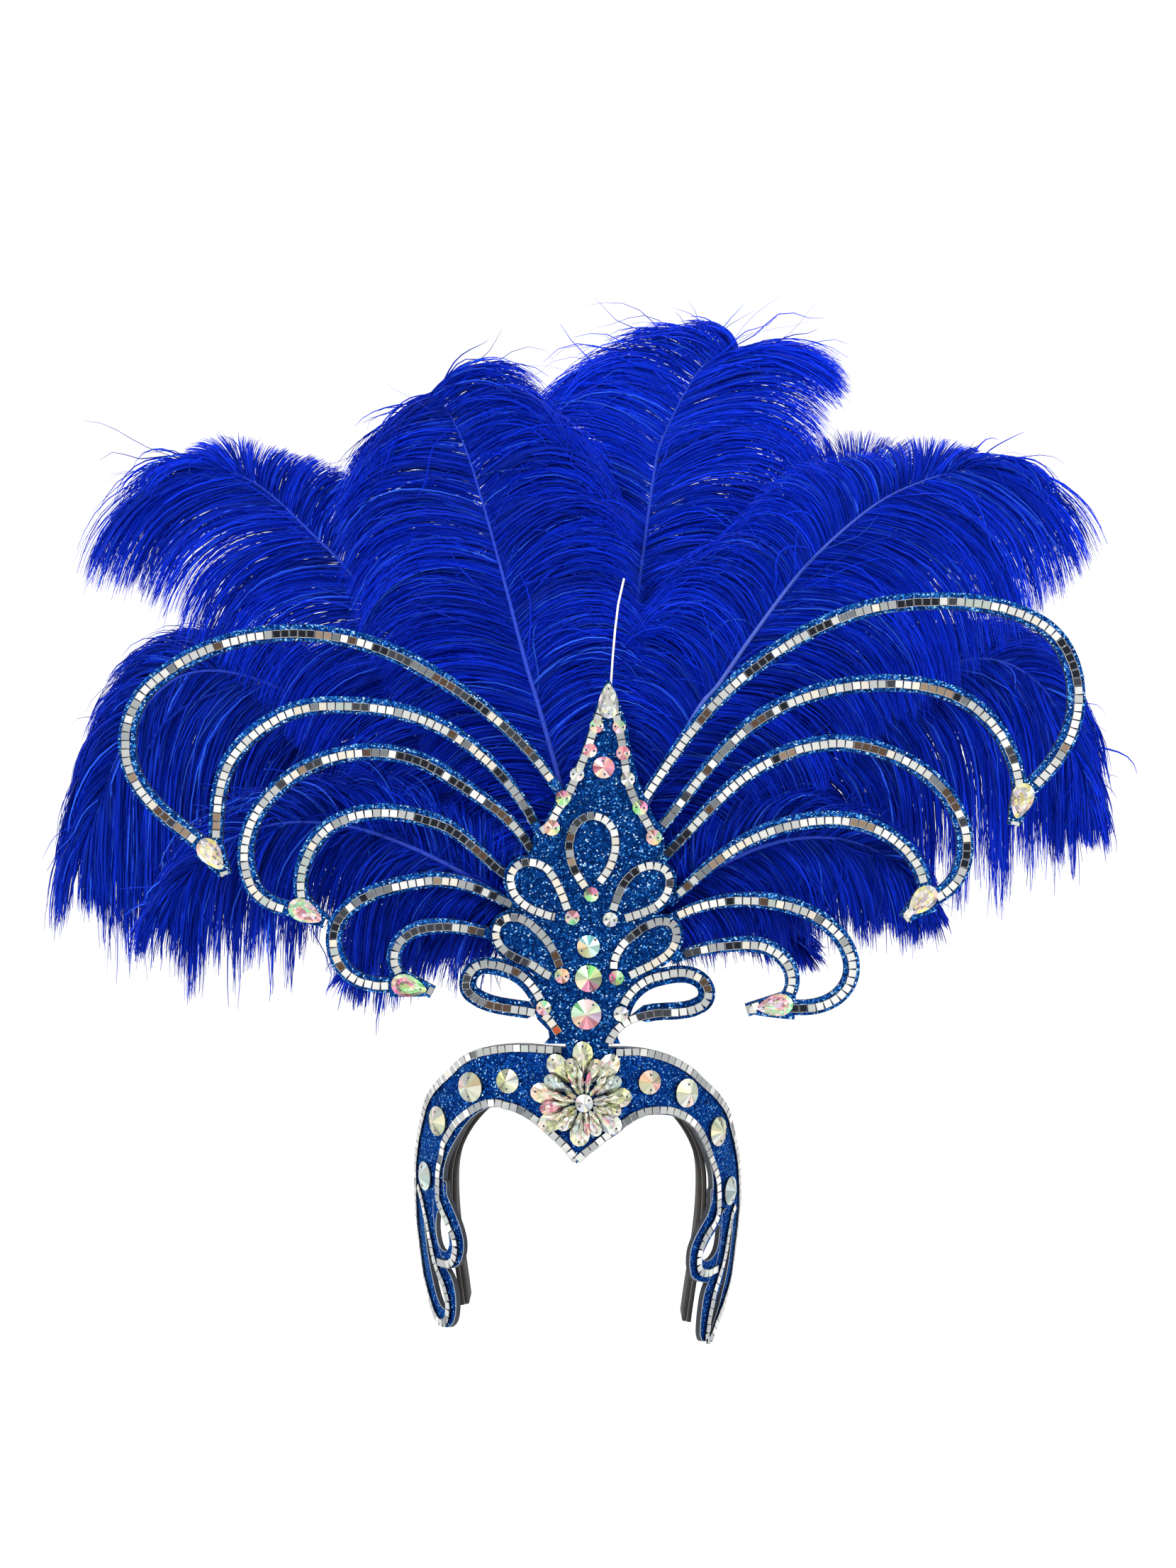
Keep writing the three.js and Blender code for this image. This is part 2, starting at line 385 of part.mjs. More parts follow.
const BROW_STONES = [
  { name: 'stone_brow_left_1', deg: -22.9, z: 2, r: 7.7 }, { name: 'stone_brow_left_2', deg: -37.3, z: -3.4, r: 9.6 },
  { name: 'stone_brow_left_3', deg: -53.6, z: -28, r: 9.6 }, { name: 'stone_brow_left_4', deg: -62.6, z: -65.6, r: 9.4 },
  { name: 'stone_brow_right_1', deg: 24.2, z: 1.2, r: 7.7 }, { name: 'stone_brow_right_2', deg: 38.7, z: -7.4, r: 9.2 },
  { name: 'stone_brow_right_3', deg: 54.6, z: -34.9, r: 9.5 }, { name: 'stone_brow_right_4', deg: 63.6, z: -75.4, r: 9.4 },
];
const HEART_STRIP = [
  at(-58.1, -119.5, 358), at(-53.8, -119.7, 6), at(-49.4, -117.6, 28), at(-47.3, -113, 62), at(-46.2, -106.1, 85), at(-46.7, -100.9, 113),
  at(-49, -93.5, 122), at(-51.9, -85, 121), at(-53.8, -78.1, 102), at(-53.7, -69.4, 85), at(-52.9, -58.5, 76), at(-51.1, -48.8, 71),
  at(-49.9, -41.6, 57), at(-44, -27.7, 43), at(-36.1, -17.1, 31), at(-31.8, -13.5, 18), at(-27.8, -12.1, 3), at(-24.3, -12.8, 349),
  at(-19.2, -15.4, 340), at(-14.9, -19.4, 327), at(-9.4, -27.5, 320), at(-3.9, -37.3, 313), at(-0.1, -46.4, 309),
];
const HEART_STRIP_R = [
  at(0.1, -46.4, 43), at(3.5, -40.3, 40), at(8.9, -32.3, 37), at(13, -26.4, 34), at(16.5, -22.3, 29), at(20.1, -18.7, 22),
  at(23.8, -16.7, 8), at(28.4, -16.6, 356), at(32.4, -17.8, 345), at(36.6, -20.8, 335), at(40.3, -24.8, 325), at(43.6, -30.3, 314),
  at(46.7, -37.6, 304), at(49.4, -46.8, 298), at(54.3, -65.5, 292), at(55.1, -73.3, 279), at(55.6, -81, 274), at(55.6, -87.8, 260),
  at(54.6, -92.1, 233), at(52.1, -96.7, 224), at(49.6, -101.3, 231), at(47.8, -106.8, 244), at(46.9, -111.8, 261), at(47, -116.4, 279),
  at(47.7, -121.1, 305), at(49.7, -123.9, 338), at(53.2, -125.4, 356), at(57.1, -124.9, 4), at(59.3, -124.5, 5),
];
const OUTER_STRIP = {
  left: [
    at(-4.6, 22.2, 180), at(-20.9, 22.8, 184), at(-44, 8.2, 219), at(-62.8, -23, 241), at(-71.6, -60, 258), at(-72.8, -77.6, 255),
    at(-75.9, -99.1, 260), at(-76.2, -115.6, 271), at(-75.6, -131.9, 288), at(-71.2, -143.9, 309), at(-66.2, -154.2, 321), at(-61.4, -159.1, 346),
    at(-57.3, -158.4, 24), at(-54.6, -153.3, 62), at(-53.7, -145.6, 92), at(-54.9, -136.6, 113), at(-57.3, -129.4, 123), at(-60.5, -119.7, 115),
    at(-61.8, -110.7, 104), at(-63.1, -99, 105), at(-65, -87.4, 111), at(-67.3, -78.6, 123), at(-69.6, -73.9, 133),
  ],
  right: [
    at(12.4, 20.8, 354), at(22, 20.2, 350), at(44, 1.2, 322), at(62.8, -29.5, 300), at(72.2, -66, 284), at(76.7, -93.6, 276),
    at(77.5, -107.9, 273), at(77.5, -118.6, 270), at(77.5, -126.5, 270), at(77.5, -132.2, 252), at(75.3, -139.7, 230), at(71, -147.3, 221),
    at(67.2, -153.5, 220), at(62.9, -160.3, 223), at(59.7, -166.7, 221), at(57.1, -169.9, 180), at(55.5, -166.7, 107), at(55.8, -162.3, 81),
    at(56.5, -154.9, 76), at(57.6, -148.5, 73), at(58.7, -141.2, 69), at(60.5, -134.3, 62), at(62.5, -127.3, 65), at(64, -120.2, 72),
    at(65, -112.8, 80), at(65.4, -105.3, 79), at(66.5, -98, 74), at(67.5, -91.4, 61), at(69.8, -86.7, 47),
  ],
};

// -------------------------------------------------------------- rosette
// Round end of each outer drop, from the middle stone; the drops point inward.
const ROSETTE = { x: 4.6, z: -9.4, r: 5.6, tiers: [
  { high: 3.0, base: 0, half: 6.5, drops: [{ x: -0.9, z: 31.3 }, { x: 16.3, z: 23.7 }, { x: 23.1, z: 3.0 }, { x: 17.2, z: -14.0 }, { x: -2.8, z: -21.1 }, { x: -22.0, z: -12.8 }, { x: -27.0, z: 6.0 }, { x: -17.3, z: 23.7 }] },
  { high: 3.0, base: 1.6, half: 4.6, drops: [{ x: -8.2, z: 23.0 }, { x: 7.2, z: 22.6 }, { x: 19.0, z: 12.6 }, { x: 18.6, z: -5.0 }, { x: 7.0, z: -16.6 }, { x: -12.6, z: -13.4 }, { x: -23.0, z: -3.6 }, { x: -20.6, z: 13.4 }] },
] };

// --------------------------------------------------------------- plumes
// Start and end direction of the shaft in degrees from upright, how late it
// bends, its length, the half width of the vane and the layer from the front.
const PLUMES = [
  { name: 'plume_top_left', from: -13.6, to: -127, late: 12, length: 383, half: 90, layer: 0, upper: 1 },
  { name: 'plume_top_right', from: 6.5, to: 135, late: 6, length: 450, half: 84, layer: 1, upper: -1 },
  { name: 'plume_left_high', from: -33.3, to: -170, late: 5.4, length: 476, half: 86, layer: 1, upper: 1 },
  { name: 'plume_right_high', from: 27, to: 124, late: 3.2, length: 460, half: 86, layer: 0, upper: -1 },
  { name: 'plume_left_wide', from: -44.7, to: -184, late: 1.95, length: 470, half: 84, layer: 2, upper: 1 },
  { name: 'plume_right_wide', from: 46, to: 176, late: 2.15, length: 454, half: 80, layer: 1, upper: -1 },
  { name: 'plume_left_low', from: -63.6, to: -170, late: 2.5, length: 326, half: 76, layer: 0, upper: 1 },
  { name: 'plume_right_low', from: 64, to: 164, late: 2.7, length: 264, half: 62, layer: 0, upper: -1 },
  { name: 'plume_left_under', from: -83.5, to: -164, late: 2.3, length: 176, half: 46, layer: 1, upper: 1 },
  { name: 'plume_right_under', from: 91, to: 176, late: 4, length: 152, half: 38, layer: 2, upper: -1 },
  { name: 'plume_back_right', from: 22, to: 86, late: 2.8, length: 384, half: 78, layer: 2, upper: -1 },
  { name: 'plume_back_middle', from: -0.7, to: -10.6, late: 1.8, length: 288, half: 74, layer: 3, upper: 1 },
];
// Half widths along a vane: the hanging side, and the upper side that curls over.
const VANE = [
  { t: 0, hang: 0.028, over: 0.028, thick: 0.3 }, { t: 0.1, hang: 0.035, over: 0.035, thick: 0.3 },
  { t: 0.2, hang: 0.12, over: 0.12, thick: 0.4 }, { t: 0.3, hang: 0.3, over: 0.3, thick: 0.6 },
  { t: 0.42, hang: 0.55, over: 0.55, thick: 0.85 }, { t: 0.55, hang: 0.82, over: 0.78, thick: 1 },
  { t: 0.7, hang: 1, over: 0.64, thick: 1 }, { t: 0.82, hang: 0.97, over: 0.38, thick: 1 },
  { t: 0.92, hang: 0.7, over: 0.2, thick: 0.85 }, { t: 0.97, hang: 0.44, over: 0.13, thick: 0.65 },
  { t: 1, hang: 0.16, over: 0.1, thick: 0.35 },
];
const SECTION = [[1, 0], [0.55, 0.5], [-0.55, 0.5], [-1, 0], [-0.55, -0.5], [0.55, -0.5]];

// The layers spread apart just outside the block and lean back together.
function layerDepth(layer, x, z) {
  const d = Math.hypot(x - HUB.x, z - HUB.z);
  const s = Math.min(1, Math.max(0, (d - HUB.r) / 70));
  return FIRST_LAYER + layer * (LAYER_ROOT + (LAYER_STEP - LAYER_ROOT) * s * s * (3 - 2 * s)) + LEAN * (d / 400) ** 2;
}

function plume(p) {
  const fine = 240, path = [];
  let x = HUB.x, z = HUB.z;
  x += (HUB.r + GAP) * Math.sin(p.from * Math.PI / 180);
  z += (HUB.r + GAP) * Math.cos(p.from * Math.PI / 180);
  const run = p.length - HUB.r - GAP;
  for (let i = 0; i <= fine; i++) {
    const t = i / fine, dir = (p.from + (p.to - p.from) * t ** p.late) * Math.PI / 180;
    path.push({ x, z, dir });
    x += Math.sin(dir) * run / fine; z += Math.cos(dir) * run / fine;
  }
  const pts = [], tri = [], k = SECTION.length;
  for (const v of VANE) {
    const c = path[Math.round(v.t * fine)];
    for (const [a, b] of SECTION) {
      const wide = p.half * (a * p.upper > 0 ? v.over : v.hang);
      const px = c.x + a * wide * Math.cos(c.dir), pz = c.z - a * wide * Math.sin(c.dir);
      pts.push([px, layerDepth(p.layer, px, pz) + b * v.thick * PLUME_THICK, pz]);
    }
  }
  const n = VANE.length;
  for (let i = 0; i + 1 < n; i++) for (let j = 0; j < k; j++) {
    const a = i * k + j, b = i * k + (j + 1) % k;
    tri.push(a, b, b + k, a, b + k, a + k);
  }
  for (let j = 1; j + 1 < k; j++) {
    tri.push(0, j + 1, j);
    tri.push((n - 1) * k, (n - 1) * k + j, (n - 1) * k + j + 1);
  }
  return geometryOf(pts, tri);
}

// ------------------------------------------------------------------ assembly
// Brow band: two wrapped halves and the four loops of the tabs, in one sheet.
{
  const parts = [];
  for (const side of ['left', 'right']) {
    const outer = headingCurve(BROW_OUTER[side], 3, ARC), inner = headingCurve(BROW_INNER[side], 3, ARC);
    const count = 18;
    const pick = (line, t) => {
      const f = t * (line.length - 1), i = Math.min(line.length - 2, Math.floor(f)), u = f - i;
      return [line[i].x * (1 - u) + line[i + 1].x * u, line[i].z * (1 - u) + line[i + 1].z * u];
    };
    const a = [], b = [];
    for (let i = 0; i <= count; i++) { a.push(pick(outer, i / count)); b.push(pick(inner, i / count)); }
    parts.push(sheet(a, b, browFace, -FOAM, 0, 3));
  }
  for (const key of Object.keys(TAB_LOOPS)) {
    const loop = TAB_LOOPS[key];
    const edge = (x, z) => closedCurve(loop.rows.map(r => [r[x], r[z]]), 2);
    parts.push(sheet(edge('deg', 'z'), edge('slotDeg', 'slotZ'), browFace, -FOAM + loop.inset, -loop.inset, 1, true));
  }
  add('brow_band', join(...parts), FINISH.glitterFoam());
}
// Headings of a closed or winding table, made to change by the short way.
function unwound(rows) {
  const out = [{ ...rows[0] }];
  for (let i = 1; i < rows.length; i++) {
    let d = rows[i].dir;
    const p = out[i - 1].dir;
    while (d - p > 180) d -= 360;
    while (p - d > 180) d += 360;
    out.push({ ...rows[i], dir: d });
  }
  return out;
}

// Centre panel with its seven lobes, two of them open.
let panel = panelSolid(PANEL_FRONT, PANEL_BACK, 0);
for (const l of LOBES.filter(l => l.hole))
  panel = panel.subtract(solidOf(plate(lobeOutline(l, -HOLE_INSET), PANEL_FRONT - 2, PANEL_BACK + 2)));
add('centre_panel', geometryFrom(panel), FINISH.glitterFoam());

// Crescents, their strips and their drops.
const panelReach = panelSolid(PANEL_FRONT - 6, PANEL_BACK + 6, 0.6);
for (const tip of TIPS) {
  add('wing_' + tip.name, join(armFoam(ARMS[tip.outer], 0), armFoam(ARMS[tip.inner], 0.05, tip), tipFoam(tip)), FINISH.glitterFoam());
}
for (const tip of TIPS) {
  const trim = joined([armTrim(ARMS[tip.outer], tip), armTrim(ARMS[tip.inner], tip)]).subtract(panelReach);
  add('trim_wing_' + tip.name, geometryFrom(trim), FINISH.mirror());
}
for (const tip of TIPS)
  add('stone_tip_' + tip.name, stone(wingFace, tip.x, tip.z, drop(TIP_STONE.length, TIP_STONE.width),
    { base: 2 * GAP + TILE_THICK, wall: 1.1, high: 4.2, tilt: tip.dir, peak: [-2, 0] }), FINISH.crystal());

// Spire strips with their edge stones.
{
  const flat = (rows) => strip(headingCurve(rows, 2.6), TILE / 2, TILE / 2, panelFace, GAP, GAP + TILE_THICK);
  add('trim_spire', join(flat(SPIRE_LEFT), flat(SPIRE_RIGHT),
    ...SPIRE_STONES.map(s => stone(panelFace, s.x, s.z, disc(s.r, 8), { wall: 1.8, high: 4.2 }))), FINISH.mirror());
}
// A strip round each lobe with the stone at its root.
for (const l of LOBES) {
  const rows = l.foot ? [...l.loop, ...l.foot] : l.loop;
  add('trim_lobe_' + l.name, join(
    strip(headingCurve(rows, 2.6), TILE / 2, TILE / 2, panelFace, GAP, GAP + TILE_THICK),
    stone(panelFace, l.stone[0], l.stone[1], disc(l.r, 10), { wall: 1.8, high: 4.4 })), FINISH.mirror());
}
add('stone_spire_drop', stone(panelFace, SPIRE_DROP.x, SPIRE_DROP.z, drop(SPIRE_DROP.length, SPIRE_DROP.width),
  { base: 2 * GAP + TILE_THICK, wall: 1.1, high: 4.4, tilt: SPIRE_DROP.dir, peak: [-2, 0] }), FINISH.crystal());
for (const s of PANEL_STONES)
  add(s.name, stone(panelFace, s.x, s.z, disc(s.r, 14), { wall: 1.2, high: 1.2 + s.r * 0.42 }), FINISH.crystal());

// Strips of the brow band and its stones.
{
  const bend = rows => strip(headingCurve(unwound(rows), 5.0, ARC), TILE / 2, TILE / 2, browFace, GAP, GAP + TILE_THICK, { stretch: ARC });
  add('trim_brow_heart', join(bend(HEART_STRIP), bend(HEART_STRIP_R)), FINISH.mirror());
  add('trim_brow_left', bend(OUTER_STRIP.left), FINISH.mirror());
  add('trim_brow_right', bend(OUTER_STRIP.right), FINISH.mirror());
}
for (const s of BROW_STONES)
  add(s.name, stone(browFace, s.deg, s.z, disc(s.r, 14), { wall: 1.2, high: 1.2 + s.r * 0.42, stretch: ARC }), FINISH.crystal());

// Rosette: two tiers of drops that point to the middle stone.
{
  const parts = [];
  for (const tier of ROSETTE.tiers) for (const d of tier.drops) {
    const far = Math.hypot(d.x, d.z), dir = Math.atan2(d.z, d.x);
    const len = far + tier.half - 2.5, mid = far + tier.half - len / 2;
    parts.push(stone(panelFace, ROSETTE.x + mid * Math.cos(dir), ROSETTE.z + mid * Math.sin(dir),
      drop(len, tier.half * 2, 10), { base: GAP + tier.base, wall: 1.6, high: tier.high + 0.6, tilt: dir * 180 / Math.PI + 180 }));
  }
  parts.push(stone(panelFace, ROSETTE.x, ROSETTE.z, disc(9, 12), { base: GAP, wall: 4.2, high: 5.2 }));
  parts.push(stone(panelFace, ROSETTE.x, ROSETTE.z, disc(ROSETTE.r, 12), { base: GAP + 3.6, wall: 2.0, high: 4.2 }));
  add('rosette', join(...parts), FINISH.crystal());
}

// Hoop over the head: inner face of each leg from the crown down.
const HOOP = {
  left: [at(0, 0, 180), at(-77.5, -66, 268), at(-69.5, -147, 277)],
  right: [at(0, 0, 0), at(77.5, -66, -88), at(67.5, -158, -97)],
};
{
  const inner = [...headingCurve(HOOP.left, 5).reverse(), ...headingCurve(HOOP.right, 5).slice(1)];
  const n = leftNormals(inner, 1, false);
  const outer = inner.map((p, i) => [p.x + HOOP_THICK * n[i][0], p.z + HOOP_THICK * n[i][1]]);
  const outline = [...inner.map(p => [p.x, p.z]), ...outer.reverse()];
  add('head_hoop', plate(outline, HOOP_FRONT, HOOP_BACK), FINISH.darkFoam());
}

// Plain post: a strap up the back of the panel, a foot over the hoop and a
// round block that takes the quills.
{
  const box = (x0, x1, y0, y1, z0, z1) => {
    const g = new THREE.BoxGeometry(x1 - x0, y1 - y0, z1 - z0);
    g.translate((x0 + x1) / 2, (y0 + y1) / 2, (z0 + z1) / 2);
    return g;
  };
  const block = new THREE.CylinderGeometry(HUB.r, HUB.r, HUB.back - HUB.front, 28);
  block.translate(HUB.x, (HUB.back + HUB.front) / 2, HUB.z);
  add('plume_post', join(
    box(POST.x0, POST.x1, POST.front, POST.front + POST.thick, POST.foot, POST.top),
    box(POST.x0 + 1, POST.x1 - 1, POST.front + 0.5, POST.back, POST.foot, POST.foot + POST.arm), block), FINISH.darkFoam());
}

for (const p of PLUMES) add(p.name, plume(p), FINISH.plume());

// The thin bare quill that stands up behind the spire.
{
  const way = new THREE.CatmullRomCurve3([
    new THREE.Vector3(14.2, -65, POST.top + GAP), new THREE.Vector3(18.4, -64.6, 205), new THREE.Vector3(21.4, -63.6, 251.5),
    new THREE.Vector3(23.6, -62.2, 280.8), new THREE.Vector3(26.4, -60.6, 303.4), new THREE.Vector3(29.6, -59.4, 317)]);
  const r = 0.75, ring6 = new THREE.Shape(Array.from({ length: 6 }, (_, i) =>
    new THREE.Vector2(r * Math.cos(i * Math.PI / 3), r * Math.sin(i * Math.PI / 3))));
  add('bare_quill', new THREE.ExtrudeGeometry(ring6, { extrudePath: way, steps: 10, bevelEnabled: false }), FINISH.quill());
}

export default group;
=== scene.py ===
# Looks of the showgirl feather headdress: glitter foam, mirror tiles, cut
# stones and ostrich plumes. Metres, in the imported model's frame. Tables of
# lengths are in millimetres and are scaled where a mesh is made.
import math

import bpy
import bmesh
import numpy as np
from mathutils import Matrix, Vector


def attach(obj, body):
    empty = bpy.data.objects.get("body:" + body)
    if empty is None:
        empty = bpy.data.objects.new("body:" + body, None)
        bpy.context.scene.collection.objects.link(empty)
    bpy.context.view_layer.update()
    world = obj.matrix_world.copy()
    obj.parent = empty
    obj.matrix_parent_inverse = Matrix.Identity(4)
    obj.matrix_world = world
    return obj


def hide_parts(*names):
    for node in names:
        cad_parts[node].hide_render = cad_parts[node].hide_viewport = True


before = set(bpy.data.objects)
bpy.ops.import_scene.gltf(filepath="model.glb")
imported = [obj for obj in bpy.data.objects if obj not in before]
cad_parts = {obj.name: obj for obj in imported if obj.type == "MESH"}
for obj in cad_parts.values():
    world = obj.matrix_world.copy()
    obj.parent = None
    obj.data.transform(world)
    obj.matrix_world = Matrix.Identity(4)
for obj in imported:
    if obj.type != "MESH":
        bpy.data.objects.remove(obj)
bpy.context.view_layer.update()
MM = 0.001

# ------------------------------------------------------------------- camera
cam_data = bpy.data.cameras.new("camera")
cam_data.sensor_width = 36.0
cam_data.sensor_fit = "AUTO"
cam_data.lens = 3400.0 / 2212.0 * 36.0
cam_data.clip_start = 0.05
cam_data.clip_end = 60.0
cam = bpy.data.objects.new("camera", cam_data)
cam.location = (0.007, -1.572, 0.188)
cam.rotation_euler = (math.pi / 2, 0.0, 0.0)
bpy.context.scene.collection.objects.link(cam)
bpy.context.scene.camera = cam

# ---------------------------------------------------------------- dimensions
FOAM = 4.0
GAP = 0.3
TILE = 5.0
TILE_THICK = 1.2
PANEL_FRONT = -76.0
PANEL_BACK = PANEL_FRONT + FOAM + 0.2
WING_FRONT = -71.5
SWEEP_FROM, SWEEP, MIDDLE_X = 85.0, 0.00045, 7.0
BROW_A, BROW_B, BROW_Y = 110.5, 110.0, 38.5
TAB_TUCK, TUCK_FROM, TUCK_OVER = 10.0, -60.0, 115.0
ARC = BROW_B * math.pi / 180
LOBE_MARGIN = 4.5
HOLE_INSET = 6.0
HOOP_THICK, HOOP_FRONT, HOOP_BACK = 6.0, -20.0, 18.0
HUB_X, HUB_Z, HUB_R = 8.0, 95.0, 26.0
LAYER_ROOT, LAYER_STEP, FIRST_LAYER, LEAN = 6.0, 19.0, -60.5, 85.0


# ------------------------------------------------------------------ surfaces
def panel_face(x, z, h):
    return (x, PANEL_FRONT - h, z)


def wing_face(x, z, h):
    d = max(0.0, abs(x - MIDDLE_X) - SWEEP_FROM)
    return (x, WING_FRONT - SWEEP * d * d - h, z)


def brow_face(deg, z, h):
    t = min(1.0, max(0.0, (TUCK_FROM - z) / TUCK_OVER))
    a = BROW_A - TAB_TUCK * t * t * (3 - 2 * t)
    th = math.radians(deg)
    return ((a + h) * math.sin(th), BROW_Y - (BROW_B + h) * math.cos(th), z)


def heading_curve(rows, steps, stretch=1.0):
    """Smooth line through rows of (x, z, heading): list of (x, z, row)."""
    out = []
    for i in range(len(rows) - 1):
        p, q = rows[i], rows[i + 1]
        dx, dz = (q[0] - p[0]) * stretch, q[1] - p[1]
        turn = math.radians(max(-170.0, min(170.0, q[2] - p[2])))
        k = math.hypot(dx, dz) / 3 / math.cos(turn / 4) ** 2
        c0, s0 = math.cos(math.radians(p[2])), math.sin(math.radians(p[2]))
        c1, s1 = math.cos(math.radians(q[2])), math.sin(math.radians(q[2]))
        a = (p[0] * stretch, p[1])
        b = (a[0] + k * c0, a[1] + k * s0)
        d = (q[0] * stretch, q[1])
        c = (d[0] - k * c1, d[1] - k * s1)
        n = max(1, round(steps * max(abs(turn) * 1.35, math.hypot(dx, dz) / 55)))
        for j in range(n):
            t = j / n
            w = ((1 - t) ** 3, 3 * t * (1 - t) ** 2, 3 * t * t * (1 - t), t ** 3)
            out.append((sum(w[m] * v[0] for m, v in enumerate((a, b, c, d))) / stretch,
                        sum(w[m] * v[1] for m, v in enumerate((a, b, c, d))), i + t))
    out.append((rows[-1][0], rows[-1][1], float(len(rows) - 1)))
    return out


def closed_curve(points, steps):
    """Closed smooth line through points, with the same steps in every span."""
    n, out = len(points), []
    for i in range(n):
        p = [points[(i + k) % n] for k in (-1, 0, 1, 2)]
        for j in range(steps):
            t = j / steps
            w = (-0.5 * t + t * t - 0.5 * t ** 3, 1 - 2.5 * t * t + 1.5 * t ** 3,
                 0.5 * t + 2 * t * t - 1.5 * t ** 3, -0.5 * t * t + 0.5 * t ** 3)
            out.append(tuple(sum(w[m] * p[m][c] for m in range(4)) for c in (0, 1)))
    return out


def unwound(rows):
    out = [list(rows[0])]
    for r in rows[1:]:
        d = r[2]
        while d - out[-1][2] > 180:
            d -= 360
        while out[-1][2] - d > 180:
            d += 360
        out.append([r[0], r[1], d])
    return out


def left_normals(line, stretch=1.0, closed=False):
    n, out = len(line), []
    for i in range(n):
        a = line[(i + n - 1) % n] if closed else line[max(0, i - 1)]
        b = line[(i + 1) % n] if closed else line[min(n - 1, i + 1)]
        dx, dz = (b[0] - a[0]) * stretch, b[1] - a[1]
        l = math.hypot(dx, dz) or 1.0
        out.append((-dz / l, dx / l))
    return out


def column(rows, key, at):
    i = min(len(rows) - 2, int(at))
    t = at - i
    return rows[i][key] * (1 - t) + rows[i + 1][key] * t


# -------------------------------------------------------------------- tables
# Arms: x, z, heading, foam outside and inside the strip's middle line.
ARMS = {
    "left1": (-1, 19, [(-15.5, 190, 124, 3.6, 3.4), (-101, 262, 151, 6.6, 4.6), (-190, 280.5, 186, 6.2, 4.6), (-262, 249.5, 223, 5.2, 5.2), (-277, 205, 278, 4.4, 6.2), (-231, 149, 321, 4.2, 6.0)]),
    "left2": (-1, 12, [(-26.5, 163.5, 117, 3.4, 3.2), (-81.5, 221, 150, 6.4, 4.4), (-159, 236, 183, 6.4, 4.6), (-209, 209.5, 229, 6.0, 4.4), (-223, 151, 269, 4.6, 4.0)]),
    "left3": (-1, 12, [(-28.5, 147, 117, 3.2, 3.4), (-83, 194, 146, 6.4, 4.4), (-146.5, 205.5, 192, 6.0, 4.6), (-196.5, 173, 235, 5.0, 5.2), (-202.5, 126.5, 291, 4.4, 6.0), (-173.5, 109.5, 358, 4.2, 5.6)]),
    "left4": (-1, 10, [(-44.5, 131.5, 145, 3.4, 3.2), (-87.5, 163.5, 162, 6.2, 4.4), (-134, 169, 191, 6.0, 4.6), (-163.5, 150.5, 238, 5.6, 4.4), (-170.5, 117, 282, 4.6, 4.0)]),
    "left5": (-1, 10, [(-40, 112.5, 152, 3.2, 3.4), (-97, 127, 190, 6.2, 4.4), (-145, 107.5, 229, 5.2, 5.0), (-147.5, 76, 300, 4.4, 5.6), (-116.5, 62.5, 364, 4.4, 5.2)]),
    "left6": (-1, 10, [(-52, 94, 165, 3.6, 3.4), (-92, 98.5, 188, 5.8, 4.4), (-111.5, 87, 243, 5.4, 4.2), (-110.5, 70, 306, 4.6, 3.6)]),
    "right1": (1, 12, [(42.5, 179, 57, 3.6, 3.4), (110.5, 260, 37, 6.4, 4.6), (204, 300, 4, 6.2, 4.6), (285, 287, -31, 5.4, 5.0), (308, 240, -90, 4.4, 6.2), (279, 184, -137, 4.2, 6.0)]),
    "right2": (1, 12, [(50, 157.5, 50, 3.4, 3.4), (119, 231, 31, 6.4, 4.4), (192, 250, 0, 6.4, 4.6), (247.5, 234, -39, 6.0, 4.4), (273, 186.5, -83, 4.6, 4.0)]),
    "right3": (1, 12, [(55.5, 143.5, 45, 3.4, 3.4), (117, 200, 29, 6.4, 4.4), (174, 212, -10, 6.0, 4.6), (226.5, 185, -49, 5.0, 5.2), (240.5, 141.5, -100, 4.4, 6.0), (220, 116, -158, 4.2, 5.6)]),
    "right4": (1, 8, [(63, 119, 43, 3.4, 3.2), (114.5, 156, 23, 6.2, 4.4), (165.5, 165, -5, 6.2, 4.6), (201, 150, -42, 5.6, 4.4), (216, 123, -82, 4.6, 4.0)]),
    "right5": (1, 5, [(62.5, 106, 26, 3.2, 3.4), (121.5, 114, -9, 6.2, 4.4), (164.5, 92, -53, 5.2, 5.0), (168, 61.5, -122, 4.4, 5.6), (136, 48.5, -184, 4.4, 5.2)]),
    "right6": (1, 8, [(66.5, 81.5, 18, 3.6, 3.4), (110, 87.5, -4, 5.8, 4.4), (131.5, 74.5, -62, 5.4, 4.2), (130, 55.5, -133, 4.6, 3.6)]),
}
# Crescents: name, outer arm, inner arm, drop's middle, foam's point, heading.
TIPS = [
    ("upper_left", "left1", "left2", -226.0, 144.5, -217.6, 131.6, -54),
    ("middle_left", "left3", "left4", -168.5, 108.6, -155.2, 101.4, -28),
    ("lower_left", "left5", "left6", -104.4, 62.2, -89.5, 58.6, -13),
    ("upper_right", "right1", "right2", 274.2, 177.6, 270.0, 162.6, -106),
    ("middle_right", "right3", "right4", 214.0, 115.6, 203.4, 104.2, -134),
    ("lower_right", "right5", "right6", 123.4, 50.3, 105.8, 47.6, -172),
]
